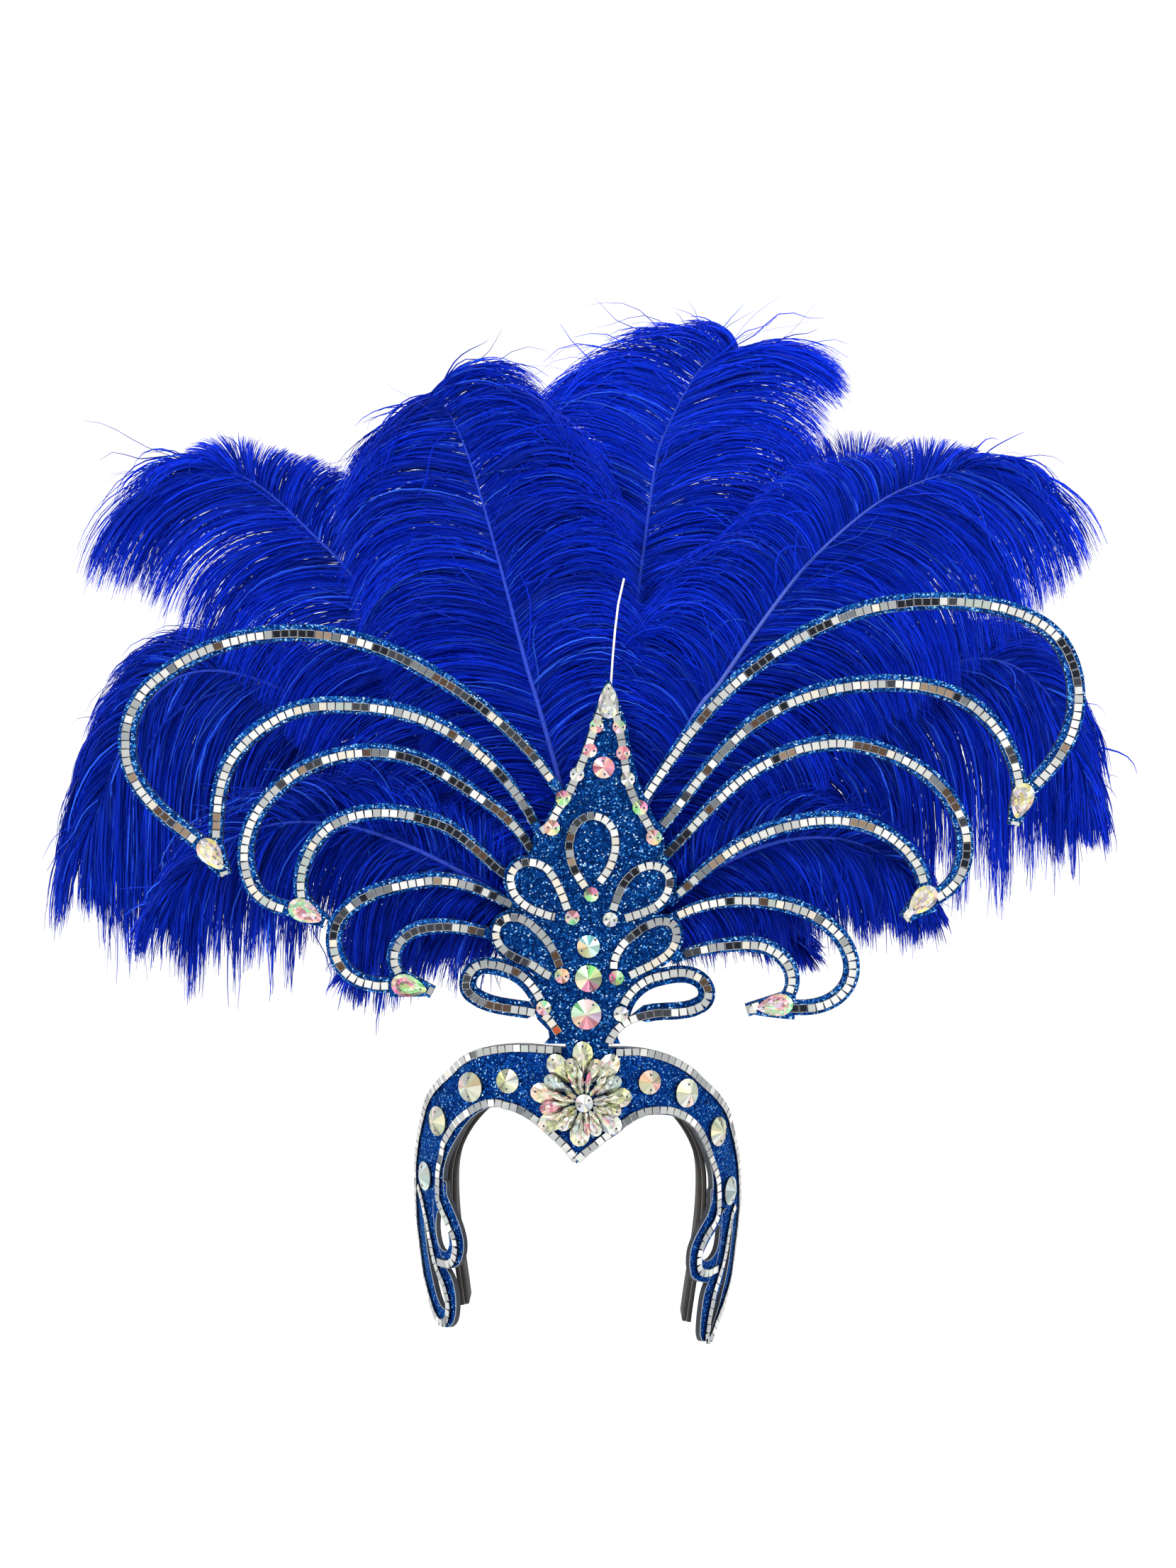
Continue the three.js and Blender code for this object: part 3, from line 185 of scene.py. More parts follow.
# Panel: height, left edge, right edge.
BODY = [
    (252.5, 18.2, 20.6), (241, 13.6, 26), (223, 7.4, 31.6), (206, 1.8, 34.4), (190, -4.8, 38.4), (182, -10.2, 41.6),
    (174, -15.2, 45), (163, -20.8, 50.4), (155, -27, 54), (147, -27.4, 54.6), (140, -22, 46), (124, -22, 40),
    (108, -26, 38), (92, -24, 36), (78, -30, 42), (62, -24, 32), (50, -27, 34), (42, -24.5, 34.5),
    (35, -17.6, 26.2), (30.5, -17, 25.4), (26.8, -20, 27), (26.7, -6.5, 20), (-12, -4, 14),
]
# Lobes: name, stone x, z, r, open middle, loop rows, foot rows.
LOBES = [
    ("centre", 9.1, 119.5, 4.7, False, [(9, 119.5, 131), (-4.5, 151.5, 85), (8, 168, 8), (23, 158, -74), (14, 127, -132)], []),
    ("upper_left", -2.8, 105.2, 4.7, False, [(-3, 105, 121), (-19, 135.5, 139), (-37, 137, 216), (-39.5, 121.5, 295), (-13.5, 105.2, 345)], []),
    ("upper_right", 20.8, 103.9, 4.7, False, [(21, 104, 74), (36, 133.5, 36), (54, 135, -36), (55.5, 119, -118), (29.5, 104.5, -162)], []),
    ("middle_left", -9.1, 69, 4.8, False, [(-9, 69, 104), (-27.5, 100, 143), (-46, 103.5, 215), (-48, 88.5, 302), (-23.5, 73, 323), (-13, 67.5, 340)], []),
    ("middle_right", 24.6, 67.8, 4.7, False, [(24.5, 68, 114), (31, 90.5, 41), (56, 102.5, -8), (61, 89.5, -111), (35.5, 70.5, -153), (28, 67, -158)], []),
    ("lower_left", -20.5, 49.1, 4.8, True, [(-20.5, 49, 109), (-43, 73.5, 163), (-65.5, 72, 230), (-65, 56.5, 322), (-30, 46.8, 350)], [(-17.5, 42, 312), (-10.7, 32.4, 305)]),
    ("lower_right", 27.5, 45.4, 4.8, True, [(27.5, 45.5, 78), (49, 68, 15), (78.5, 65.5, -46), (77.5, 50.5, -147), (42.5, 44.5, -165)], [(27, 37.5, -138), (19.8, 26.8, -115)]),
]
SPIRE_LEFT = [(19.6, 246, -112), (9.5, 218, -108), (-5, 182, -115), (-14.1, 167.5, -112), (-22.2, 158.6, -150)]
SPIRE_RIGHT = [(19.8, 246, -72), (27.5, 216.3, -79), (34, 182.7, -70), (39.8, 170.9, -62), (48.5, 154.6, -64)]
SPIRE_STONES = [
    (12.3, 223.9, 4.4), (8.3, 208.8, 4.4), (0.2, 193.9, 4.5), (-8.5, 179.3, 4.8), (-15.3, 160.8, 5.0),
    (26.3, 223.4, 4.2), (28.8, 207.1, 4.4), (31.7, 191.1, 4.5), (39.3, 173.4, 4.8), (47.9, 154.9, 5.0),
]
PANEL_STONES = [
    ("stone_spire_round", 16.7, 198.2, 6.8, "rose"), ("stone_panel_top", 7.3, 87.2, 7.1, "sea"),
    ("stone_panel_middle", 7.3, 67.3, 8.4, "lime"), ("stone_panel_bottom", 5.9, 45.1, 9.5, "mixed"),
]
PANEL_HOLES = {
    "stone_spire_round": ((-0.5, 4.2), (0.6, -4.2)), "stone_panel_top": ((-4.2, -2.6), (4.2, 4.2)),
    "stone_panel_middle": ((-0.8, 6.6), (1.2, -6.2)), "stone_panel_bottom": ((-4.6, -5.4), (4.4, 6.0)),
}
PANEL_PHASE = {"stone_spire_round": 0.4, "stone_panel_top": 5.4, "stone_panel_middle": 5.3, "stone_panel_bottom": 5.6}
SPIRE_DROP = (19.7, 239.4, 22.0, 13.5, 90.0)
BROW_OUTER = {
    "left": [(0, 24, 180), (-20.9, 25.6, 184), (-45, 10.4, 218), (-64.5, -22, 241), (-74.5, -60, 259), (-77, -86, 265)],
    "right": [(0, 24, 0), (19.5, 23.4, -6), (45, 2.8, -38), (64.5, -28.5, -60), (74.4, -66, -76), (77, -92, -84)],
}
BROW_INNER = {
    "left": [(0, -48.7, 118), (-12.8, -24, 130), (-27.2, -14.8, 183), (-42.7, -34.2, 232), (-50.1, -55.7, 250), (-50.4, -76, 278)],
    "right": [(0, -48.7, 58), (16.4, -25.6, 46), (29, -19.9, -6), (43.2, -32.6, -52), (51.3, -59.4, -70), (51.6, -82, -100)],
}
# outer edge (degrees, height) and slot edge of each loop
TAB_LOOPS = {
    "left_long": [
        (-58, -74.6, -65.7, -81.5), (-58.5, -90.9, -65.3, -95.6), (-57.2, -106.6, -64.7, -109), (-54.7, -119.2, -63, -121.9), (-50.7, -127.3, -60.3, -130.4), (-49.2, -136.2, -57.6, -137.6),
        (-49.4, -146.9, -56.2, -144.5), (-51.5, -156.2, -56.1, -147.8), (-56.1, -161.5, -57.6, -149.8), (-61.9, -160.4, -59.5, -149), (-67.1, -153.8, -61.8, -145.8), (-71.9, -144.1, -63.6, -141),
        (-76.6, -132.3, -65.5, -132.2), (-77.3, -116, -67.1, -120.6), (-76.9, -99.4, -67.6, -107.2), (-74.3, -82.1, -67.1, -90.8), (-64.5, -72.4, -66.6, -81.8),
    ],
    "left_short": [
        (-49.8, -65.8, -54.7, -86.4), (-49.2, -74.3, -53.8, -87.9), (-46, -83.5, -52, -91.4), (-43.3, -93.4, -50.4, -97.2), (-42.2, -103.1, -49.8, -103.3), (-43.5, -112.7, -50.5, -107.9),
        (-46.8, -119.2, -52.2, -111), (-52.8, -122.6, -54.1, -111.5), (-59, -123, -55.9, -109.9), (-61.9, -114.8, -57.2, -105.9), (-62.8, -104.3, -57.6, -100.7), (-62.2, -92, -57.3, -95.2),
        (-59.4, -80.4, -56.4, -90.2), (-56.3, -68.8, -55.5, -87),
    ],
    "right_long": [
        (59.7, -88.3, 69, -99.2), (60.2, -102.1, 69, -111.1), (59.7, -114.2, 68.2, -120.1), (57.6, -124.9, 67.4, -129), (54.3, -132.2, 65.6, -136), (52.5, -139.2, 63.2, -142.8),
        (51.8, -148, 60.8, -150.4), (51.5, -157, 59.2, -156.7), (51.7, -164.6, 58.5, -162.5), (53.7, -169.5, 58.6, -164.2), (57.9, -169.1, 59.3, -164), (62.2, -163.1, 60.8, -160.3),
        (68.5, -153.3, 64.5, -151.8), (77.3, -140.5, 69, -137.3), (77.5, -130.5, 71.3, -124.3), (77.5, -117.8, 71.4, -111.9), (77.5, -106, 71, -102.5), (77, -92.1, 70.1, -99.5),
        (66.6, -86.5, 69.5, -99),
    ],
    "right_short": [
        (51.6, -70.9, 58.1, -95.8), (51.4, -81.4, 56.9, -97.7), (49.9, -87.8, 55.3, -99.9), (46.6, -94.8, 52.7, -104.1), (43.8, -102.4, 50.6, -109.1), (42.6, -110, 49.4, -112.9),
        (43.1, -119.1, 49.8, -115.7), (45.6, -126.9, 51.9, -117.3), (53.9, -131.8, 54.3, -117), (59, -129.2, 56.4, -115.4), (62.1, -121.1, 58, -112.5), (63.3, -112.3, 58.9, -108.6),
        (62.2, -102.7, 59.1, -104.1), (59.5, -90.5, 59, -99.5), (55.8, -79.5, 58.7, -96.5),
    ],
}
BROW_STONES = [
    ("stone_brow_left_1", -22.9, 2, 7.7, "olive"), ("stone_brow_left_2", -37.3, -3.4, 9.6, "straw"),
    ("stone_brow_left_3", -53.6, -28, 9.6, "olive"), ("stone_brow_left_4", -62.6, -65.6, 9.4, "fog"),
    ("stone_brow_right_1", 24.2, 1.2, 7.7, "amber"), ("stone_brow_right_2", 38.7, -7.4, 9.2, "straw"),
    ("stone_brow_right_3", 54.6, -34.9, 9.5, "olive"), ("stone_brow_right_4", 63.6, -75.4, 9.4, "fog"),
]
HEART_STRIP = [
    (-58.1, -119.5, 358), (-53.8, -119.7, 6), (-49.4, -117.6, 28), (-47.3, -113, 62), (-46.2, -106.1, 85), (-46.7, -100.9, 113),
    (-49, -93.5, 122), (-51.9, -85, 121), (-53.8, -78.1, 102), (-53.7, -69.4, 85), (-52.9, -58.5, 76), (-51.1, -48.8, 71),
    (-49.9, -41.6, 57), (-44, -27.7, 43), (-36.1, -17.1, 31), (-31.8, -13.5, 18), (-27.8, -12.1, 3), (-24.3, -12.8, 349),
    (-19.2, -15.4, 340), (-14.9, -19.4, 327), (-9.4, -27.5, 320), (-3.9, -37.3, 313), (-0.1, -46.4, 309),
]
HEART_STRIP_R = [
    (0.1, -46.4, 43), (3.5, -40.3, 40), (8.9, -32.3, 37), (13, -26.4, 34), (16.5, -22.3, 29), (20.1, -18.7, 22),
    (23.8, -16.7, 8), (28.4, -16.6, 356), (32.4, -17.8, 345), (36.6, -20.8, 335), (40.3, -24.8, 325), (43.6, -30.3, 314),
    (46.7, -37.6, 304), (49.4, -46.8, 298), (54.3, -65.5, 292), (55.1, -73.3, 279), (55.6, -81, 274), (55.6, -87.8, 260),
    (54.6, -92.1, 233), (52.1, -96.7, 224), (49.6, -101.3, 231), (47.8, -106.8, 244), (46.9, -111.8, 261), (47, -116.4, 279),
    (47.7, -121.1, 305), (49.7, -123.9, 338), (53.2, -125.4, 356), (57.1, -124.9, 4), (59.3, -124.5, 5),
]
OUTER_STRIP = {
    "left": [
        (-4.6, 22.2, 180), (-20.9, 22.8, 184), (-44, 8.2, 219), (-62.8, -23, 241), (-71.6, -60, 258), (-72.8, -77.6, 255),
        (-75.9, -99.1, 260), (-76.2, -115.6, 271), (-75.6, -131.9, 288), (-71.2, -143.9, 309), (-66.2, -154.2, 321), (-61.4, -159.1, 346),
        (-57.3, -158.4, 24), (-54.6, -153.3, 62), (-53.7, -145.6, 92), (-54.9, -136.6, 113), (-57.3, -129.4, 123), (-60.5, -119.7, 115),
        (-61.8, -110.7, 104), (-63.1, -99, 105), (-65, -87.4, 111), (-67.3, -78.6, 123), (-69.6, -73.9, 133),
    ],
    "right": [
        (12.4, 20.8, 354), (22, 20.2, 350), (44, 1.2, 322), (62.8, -29.5, 300), (72.2, -66, 284), (76.7, -93.6, 276),
        (77.5, -107.9, 273), (77.5, -118.6, 270), (77.5, -126.5, 270), (77.5, -132.2, 252), (75.3, -139.7, 230), (71, -147.3, 221),
        (67.2, -153.5, 220), (62.9, -160.3, 223), (59.7, -166.7, 221), (57.1, -169.9, 180), (55.5, -166.7, 107), (55.8, -162.3, 81),
        (56.5, -154.9, 76), (57.6, -148.5, 73), (58.7, -141.2, 69), (60.5, -134.3, 62), (62.5, -127.3, 65), (64, -120.2, 72),
        (65, -112.8, 80), (65.4, -105.3, 79), (66.5, -98, 74), (67.5, -91.4, 61), (69.8, -86.7, 47),
    ],
}
ROSETTE_X, ROSETTE_Z, ROSETTE_R = 4.6, -9.4, 5.6
ROSETTE_OUTER = [(-0.9, 31.3), (16.3, 23.7), (23.1, 3.0), (17.2, -14.0), (-2.8, -21.1), (-22.0, -12.8), (-27.0, 6.0), (-17.3, 23.7)]
ROSETTE_MIDDLE = [(-8.2, 23.0), (7.2, 22.6), (19.0, 12.6), (18.6, -5.0), (7.0, -16.6), (-12.6, -13.4), (-23.0, -3.6), (-20.6, 13.4)]
HOOP = {
    "left": [(0, 0, 180), (-77.5, -66, 268), (-69.5, -147, 277)],
    "right": [(0, 0, 0), (77.5, -66, -88), (67.5, -158, -97)],
}


# ----------------------------------------------------------------- materials
class Nodes:
    """Short helper to wire a material."""

    def __init__(self, name):
        self.mat = bpy.data.materials.new(name)
        self.mat.use_nodes = True
        self.tree = self.mat.node_tree
        self.tree.nodes.clear()
        self.out = self.add("ShaderNodeOutputMaterial")
        self.bsdf = self.add("ShaderNodeBsdfPrincipled")
        self.link(self.bsdf, "BSDF", self.out, "Surface")

    def add(self, kind, **values):
        node = self.tree.nodes.new(kind)
        for k, v in values.items():
            setattr(node, k, v)
        return node

    def link(self, a, out, b, socket):
        self.tree.links.new(a.outputs[out], b.inputs[socket])

    def put(self, **values):
        for k, v in values.items():
            self.bsdf.inputs[k.replace("_", " ")].default_value = v

    def place(self):
        if not hasattr(self, "_place"):
            self._place = self.add("ShaderNodeTexCoord")
        return self._place

    def noise(self, scale, detail=3.0, rough=0.55, vector=None):
        n = self.add("ShaderNodeTexNoise")
        n.inputs["Scale"].default_value = scale
        n.inputs["Detail"].default_value = detail
        n.inputs["Roughness"].default_value = rough
        if vector is None:
            self.link(self.place(), "Object", n, "Vector")
        return n

    def ramp(self, source, out, stops):
        r = self.add("ShaderNodeValToRGB")
        while len(r.color_ramp.elements) < len(stops):
            r.color_ramp.elements.new(0.5)
        for e, (at, colour) in zip(r.color_ramp.elements, stops):
            e.position = at
            e.color = (*colour, 1.0)
        self.link(source, out, r, "Fac")
        return r

    def bump(self, source, out, strength, distance):
        b = self.add("ShaderNodeBump")
        b.inputs["Strength"].default_value = strength
        b.inputs["Distance"].default_value = distance
        self.link(source, out, b, "Height")
        self.link(b, "Normal", self.bsdf, "Normal")
        return b


def glitter_material(name, stops, cell=0.00085):
    """Glitter flakes: small cells, each with its own blue and its own tilt."""
    m = Nodes(name)
    v = m.add("ShaderNodeTexVoronoi")
    v.inputs["Scale"].default_value = 1.0 / cell
    m.link(m.place(), "Object", v, "Vector")
    sep = m.add("ShaderNodeSeparateColor")
    m.link(v, "Color", sep, "Color")
    ramp = m.ramp(sep, "Red", stops)
    patch = m.noise(170.0, 3.0, 0.65)
    tone = m.ramp(patch, "Fac", [(0.32, (0.45, 0.52, 0.60)), (0.55, (0.9, 0.92, 0.95)), (0.75, (1.0, 1.0, 1.0))])
    mix = m.add("ShaderNodeMix", data_type="RGBA", blend_type="MULTIPLY")
    mix.inputs["Factor"].default_value = 1.0
    m.tree.links.new(ramp.outputs["Color"], mix.inputs["A"])
    m.tree.links.new(tone.outputs["Color"], mix.inputs["B"])
    m.tree.links.new(mix.outputs["Result"], m.bsdf.inputs["Base Color"])
    # each flake leans its own way
    centre = m.add("ShaderNodeVectorMath", operation="SUBTRACT")
    centre.inputs[1].default_value = (0.5, 0.5, 0.5)
    m.tree.links.new(v.outputs["Color"], centre.inputs[0])
    scale = m.add("ShaderNodeVectorMath", operation="SCALE")
    scale.inputs["Scale"].default_value = 0.85
    m.tree.links.new(centre.outputs[0], scale.inputs[0])
    geo = m.add("ShaderNodeNewGeometry")
    total = m.add("ShaderNodeVectorMath", operation="ADD")
    m.tree.links.new(scale.outputs[0], total.inputs[0])
    m.tree.links.new(geo.outputs["Normal"], total.inputs[1])
    unit = m.add("ShaderNodeVectorMath", operation="NORMALIZE")
    m.tree.links.new(total.outputs[0], unit.inputs[0])
    m.tree.links.new(unit.outputs[0], m.bsdf.inputs["Normal"])
    rough = m.add("ShaderNodeMapRange")
    m.tree.links.new(sep.outputs["Green"], rough.inputs["Value"])
    rough.inputs["To Min"].default_value = 0.22
    rough.inputs["To Max"].default_value = 0.55
    m.tree.links.new(rough.outputs["Result"], m.bsdf.inputs["Roughness"])
    m.put(Metallic=0.85, Specular_IOR_Level=0.15)
    m.bsdf.inputs["Specular Tint"].default_value = (0.2, 0.6, 1.0, 1.0)
    return m.mat


GLITTER = glitter_material("glitter_blue", [
    (0.0, (0.001, 0.009, 0.065)), (0.4, (0.002, 0.026, 0.17)), (0.70, (0.008, 0.095, 0.42)), (0.87, (0.035, 0.27, 0.75)), (0.95, (0.30, 0.72, 1.0)), (1.0, (0.85, 0.97, 1.0))])
GLITTER_PANEL = glitter_material("glitter_panel", [
    (0.0, (0.001, 0.009, 0.055)), (0.5, (0.0015, 0.021, 0.120)), (0.80, (0.004, 0.056, 0.25)), (0.91, (0.012, 0.15, 0.52)), (0.97, (0.16, 0.52, 0.92)), (1.0, (0.85, 0.97, 1.0))])
GLITTER_BROW = glitter_material("glitter_deep", [
    (0.0, (0.001, 0.009, 0.07)), (0.45, (0.0015, 0.022, 0.16)), (0.82, (0.004, 0.062, 0.33)), (0.94, (0.02, 0.19, 0.60)), (1.0, (0.4, 0.75, 0.95))], 0.0008)


def foam_material(name, dark, light, cell=0.0009):
    """Closed-cell foam: fine pores and slow smudges."""
    m = Nodes(name)
    pores = m.add("ShaderNodeTexVoronoi")
    pores.inputs["Scale"].default_value = 1.0 / cell
    m.link(m.place(), "Object", pores, "Vector")
    smudge = m.noise(35.0, 4.0)
    ramp = m.ramp(smudge, "Fac", [(0.3, dark), (0.7, light)])
    m.tree.links.new(ramp.outputs["Color"], m.bsdf.inputs["Base Color"])
    m.bump(pores, "Distance", 0.45, 0.00035)
    m.put(Roughness=0.82)
    return m.mat


EDGE = foam_material("foam_edge", (0.016, 0.020, 0.028), (0.040, 0.046, 0.056))
RIM = foam_material("foam_rim", (0.20, 0.23, 0.27), (0.40, 0.43, 0.46))
BACK = foam_material("foam_back", (0.024, 0.026, 0.03), (0.045, 0.047, 0.052))
DARK_FOAM = foam_material("foam_dark", (0.020, 0.018, 0.017), (0.040, 0.036, 0.033))
PALE_EDGE = foam_material("foam_pale_edge", (0.22, 0.22, 0.22), (0.36, 0.36, 0.35))


def tile_material():
    m = Nodes("mirror_tile")
    # the per-face tint, a painted reflection, is the mirror's base colour
    tint = m.add("ShaderNodeAttribute", attribute_name="tint")
    m.link(tint, "Color", m.bsdf, "Base Color")
    fog = m.noise(420.0, 3.0)
    rough = m.add("ShaderNodeMapRange")
    m.link(fog, "Fac", rough, "Value")
    rough.inputs["To Min"].default_value = 0.05
    rough.inputs["To Max"].default_value = 0.20
    m.tree.links.new(rough.outputs["Result"], m.bsdf.inputs["Roughness"])
    m.put(Metallic=1.0)
    return m.mat


TILE_MAT = tile_material()


def crystal_material():
    m = Nodes("crystal")
    tint = m.add("ShaderNodeAttribute", attribute_name="tint")
    m.link(tint, "Color", m.bsdf, "Base Color")
    m.put(Metallic=0.80, Roughness=0.10, Coat_Weight=0.35, Coat_Roughness=0.04, IOR=1.58)
    scratch = m.noise(900.0, 2.0)
    rough = m.add("ShaderNodeMapRange")
    m.link(scratch, "Fac", rough, "Value")
    rough.inputs["To Min"].default_value = 0.05
    rough.inputs["To Max"].default_value = 0.16
    m.tree.links.new(rough.outputs["Result"], m.bsdf.inputs["Roughness"])
    return m.mat


CRYSTAL = crystal_material()
# painted shade: near-black colour for the inside of a sewing hole
_m = Nodes("stone_hole")
_n = _m.noise(800.0)
_r = _m.ramp(_n, "Fac", [(0.3, (0.02, 0.025, 0.03)), (0.7, (0.05, 0.055, 0.06))])
_m.tree.links.new(_r.outputs["Color"], _m.bsdf.inputs["Base Color"])
_m.put(Roughness=0.5)
HOLE = _m.mat


def plume_material():
    m = Nodes("ostrich_blue")
    tint = m.add("ShaderNodeAttribute", attribute_name="tint")
    fluff = m.noise(900.0, 3.0, 0.6)
    shade = m.ramp(fluff, "Fac", [(0.32, (0.62, 0.62, 0.66)), (0.62, (1.0, 1.0, 1.0))])
    mix = m.add("ShaderNodeMix", data_type="RGBA", blend_type="MULTIPLY")
    mix.inputs["Factor"].default_value = 1.0
    m.tree.links.new(tint.outputs["Color"], mix.inputs["A"])
    m.tree.links.new(shade.outputs["Color"], mix.inputs["B"])
    m.tree.links.new(mix.outputs["Result"], m.bsdf.inputs["Base Color"])
    m.put(Roughness=0.5, Sheen_Weight=0.20, Sheen_Roughness=0.4, Specular_IOR_Level=0.30)
    m.bsdf.inputs["Sheen Tint"].default_value = (0.03, 0.13, 1.0, 1.0)
    m.bsdf.inputs["Specular Tint"].default_value = (0.10, 0.28, 1.0, 1.0)
    return m.mat


PLUME = plume_material()

_m = Nodes("quill_white")
_n = _m.noise(260.0, 4.0)
_r = _m.ramp(_n, "Fac", [(0.25, (0.62, 0.60, 0.54)), (0.7, (0.86, 0.85, 0.80))])
_m.tree.links.new(_r.outputs["Color"], _m.bsdf.inputs["Base Color"])
_m.bump(_n, "Fac", 0.2, 0.0003)
_m.put(Roughness=0.42)
QUILL = _m.mat


# --------------------------------------------------------------- mesh makers
def new_piece(name, verts, faces, mats, face_mat=None, smooth=False, tint=None, tint_faces=None, scale=MM):
    me = bpy.data.meshes.new(name)
    v = np.asarray(verts, dtype=np.float64) * scale
    me.from_pydata(v.tolist(), [], [list(f) for f in faces])
    for m in mats:
        me.materials.append(m)
    if face_mat is not None:
        me.polygons.foreach_set("material_index", np.asarray(face_mat, dtype=np.int32))
    me.polygons.foreach_set("use_smooth", np.full(len(me.polygons), smooth))
    if tint_faces is not None:
        a = me.color_attributes.new("tint", "FLOAT_COLOR", "CORNER")
        cols = np.ones((len(me.loops), 4), dtype=np.float32)
        i = 0
        for p in me.polygons:
            n = len(p.vertices)
            cols[p.loop_start:p.loop_start + n, :3] = tint_faces[p.index]
        a.data.foreach_set("color", cols.ravel())
    me.update()
    ob = bpy.data.objects.new(name, me)
    bpy.context.scene.collection.objects.link(ob)
    return ob


def finish_piece(ob, nodes):
    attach(ob, "root")
    if nodes:
        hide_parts(*nodes)


class Build:
    """Collects faces of one piece."""

    def __init__(self):
        self.v, self.f, self.m, self.t = [], [], [], []

    def add(self, verts, faces, mat=0, tint=(1, 1, 1)):
        base = len(self.v)
        self.v.extend(verts)
        for k, face in enumerate(faces):
            self.f.append([base + i for i in face])
            self.m.append(mat[k] if isinstance(mat, (list, tuple)) else mat)
            self.t.append(tint[k] if isinstance(tint, list) else tint)


def foam_loft(b, left, right, face, h0, h1, across=2, closed=False, caps=True, bevel=0.7):
    """A sheet between two edge lines with softened front edges.
    Materials: 0 glitter face, 1 softened corner, 2 back, 3 cut edge."""
    n = len(left)
    rows = []
    for i in range(n):
        l, r = left[i], right[i]
        # width in millimetres, so that the bevel keeps its size
        pl, pr = Vector(face(l[0], l[1], 0)), Vector(face(r[0], r[1], 0))
        w = max((pl - pr).length, 1e-6)
        e = min(0.45, bevel / w)
        prof = [(0.0, h0), (0.0, h1 - bevel), (0.3 * e, h1 - 0.3 * bevel), (e, h1)]
        prof += [(e + (1 - 2 * e) * k / across, h1) for k in range(1, across)]
        prof += [(1 - e, h1), (1 - 0.3 * e, h1 - 0.3 * bevel), (1.0, h1 - bevel), (1.0, h0)]
        rows.append([face(l[0] * (1 - t) + r[0] * t, l[1] * (1 - t) + r[1] * t, h) for t, h in prof])
    k = len(rows[0])
    verts = [p for row in rows for p in row]
    faces, mats = [], []
    last = n if closed else n - 1
    for i in range(last):
        j = (i + 1) % n
        for c in range(k):
            d = (c + 1) % k
            faces.append([i * k + c, j * k + c, j * k + d, i * k + d])
            if c == k - 1:
                mats.append(2)
            elif c in (0, k - 2):
                mats.append(3)
            elif c < 3 or c >= k - 4:
                mats.append(1)
            else:
                mats.append(0)
    if not closed and caps:
        faces.append([c for c in range(k)])
        faces.append([(n - 1) * k + c for c in reversed(range(k))])
        mats += [3, 3]
    b.add(verts, faces, mats)


def offset_edges(line, left_half, right_half, stretch=1.0, closed=False):
    nrm = left_normals(line, stretch, closed)
    out = []
    for sign, half in ((1, left_half), (-1, right_half)):
        edge = []
        for i, p in enumerate(line):
            w = half(p, i) if callable(half) else half
            edge.append((p[0] + sign * w * nrm[i][0] / stretch, p[1] + sign * w * nrm[i][1]))
        out.append(edge)
    return out


def fix_normals(ob):
    bm = bmesh.new()
    bm.from_mesh(ob.data)
    bmesh.ops.recalc_face_normals(bm, faces=bm.faces)
    bm.to_mesh(ob.data)
    bm.free()
    ob.data.update()


# --------------------------------------------------------------------- tiles
# Painted reflections: the mirror tiles' face tints, from white and cream to near black, and their mixes for light, dark
# and silver runs
TILE_REFLECTION_TINTS = np.array([
    (0.92, 0.92, 0.89), (0.74, 0.75, 0.72), (0.56, 0.58, 0.56), (0.86, 0.80, 0.68), (0.40, 0.42, 0.42),
    (0.20, 0.22, 0.23), (0.055, 0.06, 0.07), (0.020, 0.022, 0.03), (0.11, 0.07, 0.05), (0.34, 0.25, 0.18), (0.50, 0.58, 0.53)])
LIGHT_REFLECTION_MIX = np.array([0.26, 0.22, 0.15, 0.13, 0.07, 0.04, 0.03, 0.02, 0.02, 0.03, 0.03])
DARK_REFLECTION_MIX = np.array([0.05, 0.05, 0.06, 0.05, 0.07, 0.12, 0.20, 0.22, 0.12, 0.05, 0.01])
SILVER_REFLECTION_MIX = np.array([0.10, 0.22, 0.38, 0.02, 0.20, 0.05, 0.00, 0.00, 0.00, 0.00, 0.03])


def resample(line, stretch=1.0):
    pts = np.array([(p[0] * stretch, p[1]) for p in line])
    seg = np.hypot(*(pts[1:] - pts[:-1]).T)
    s = np.concatenate([[0], np.cumsum(seg)])
    return pts, s


def inside(x, z, poly):
    hit, n = False, len(poly)
    for i in range(n):
        (x0, z0), (x1, z1) = poly[i], poly[(i + 1) % n]
        if (z0 > z) != (z1 > z) and x < (x1 - x0) * (z - z0) / (z1 - z0) + x0:
            hit = not hit
    return hit


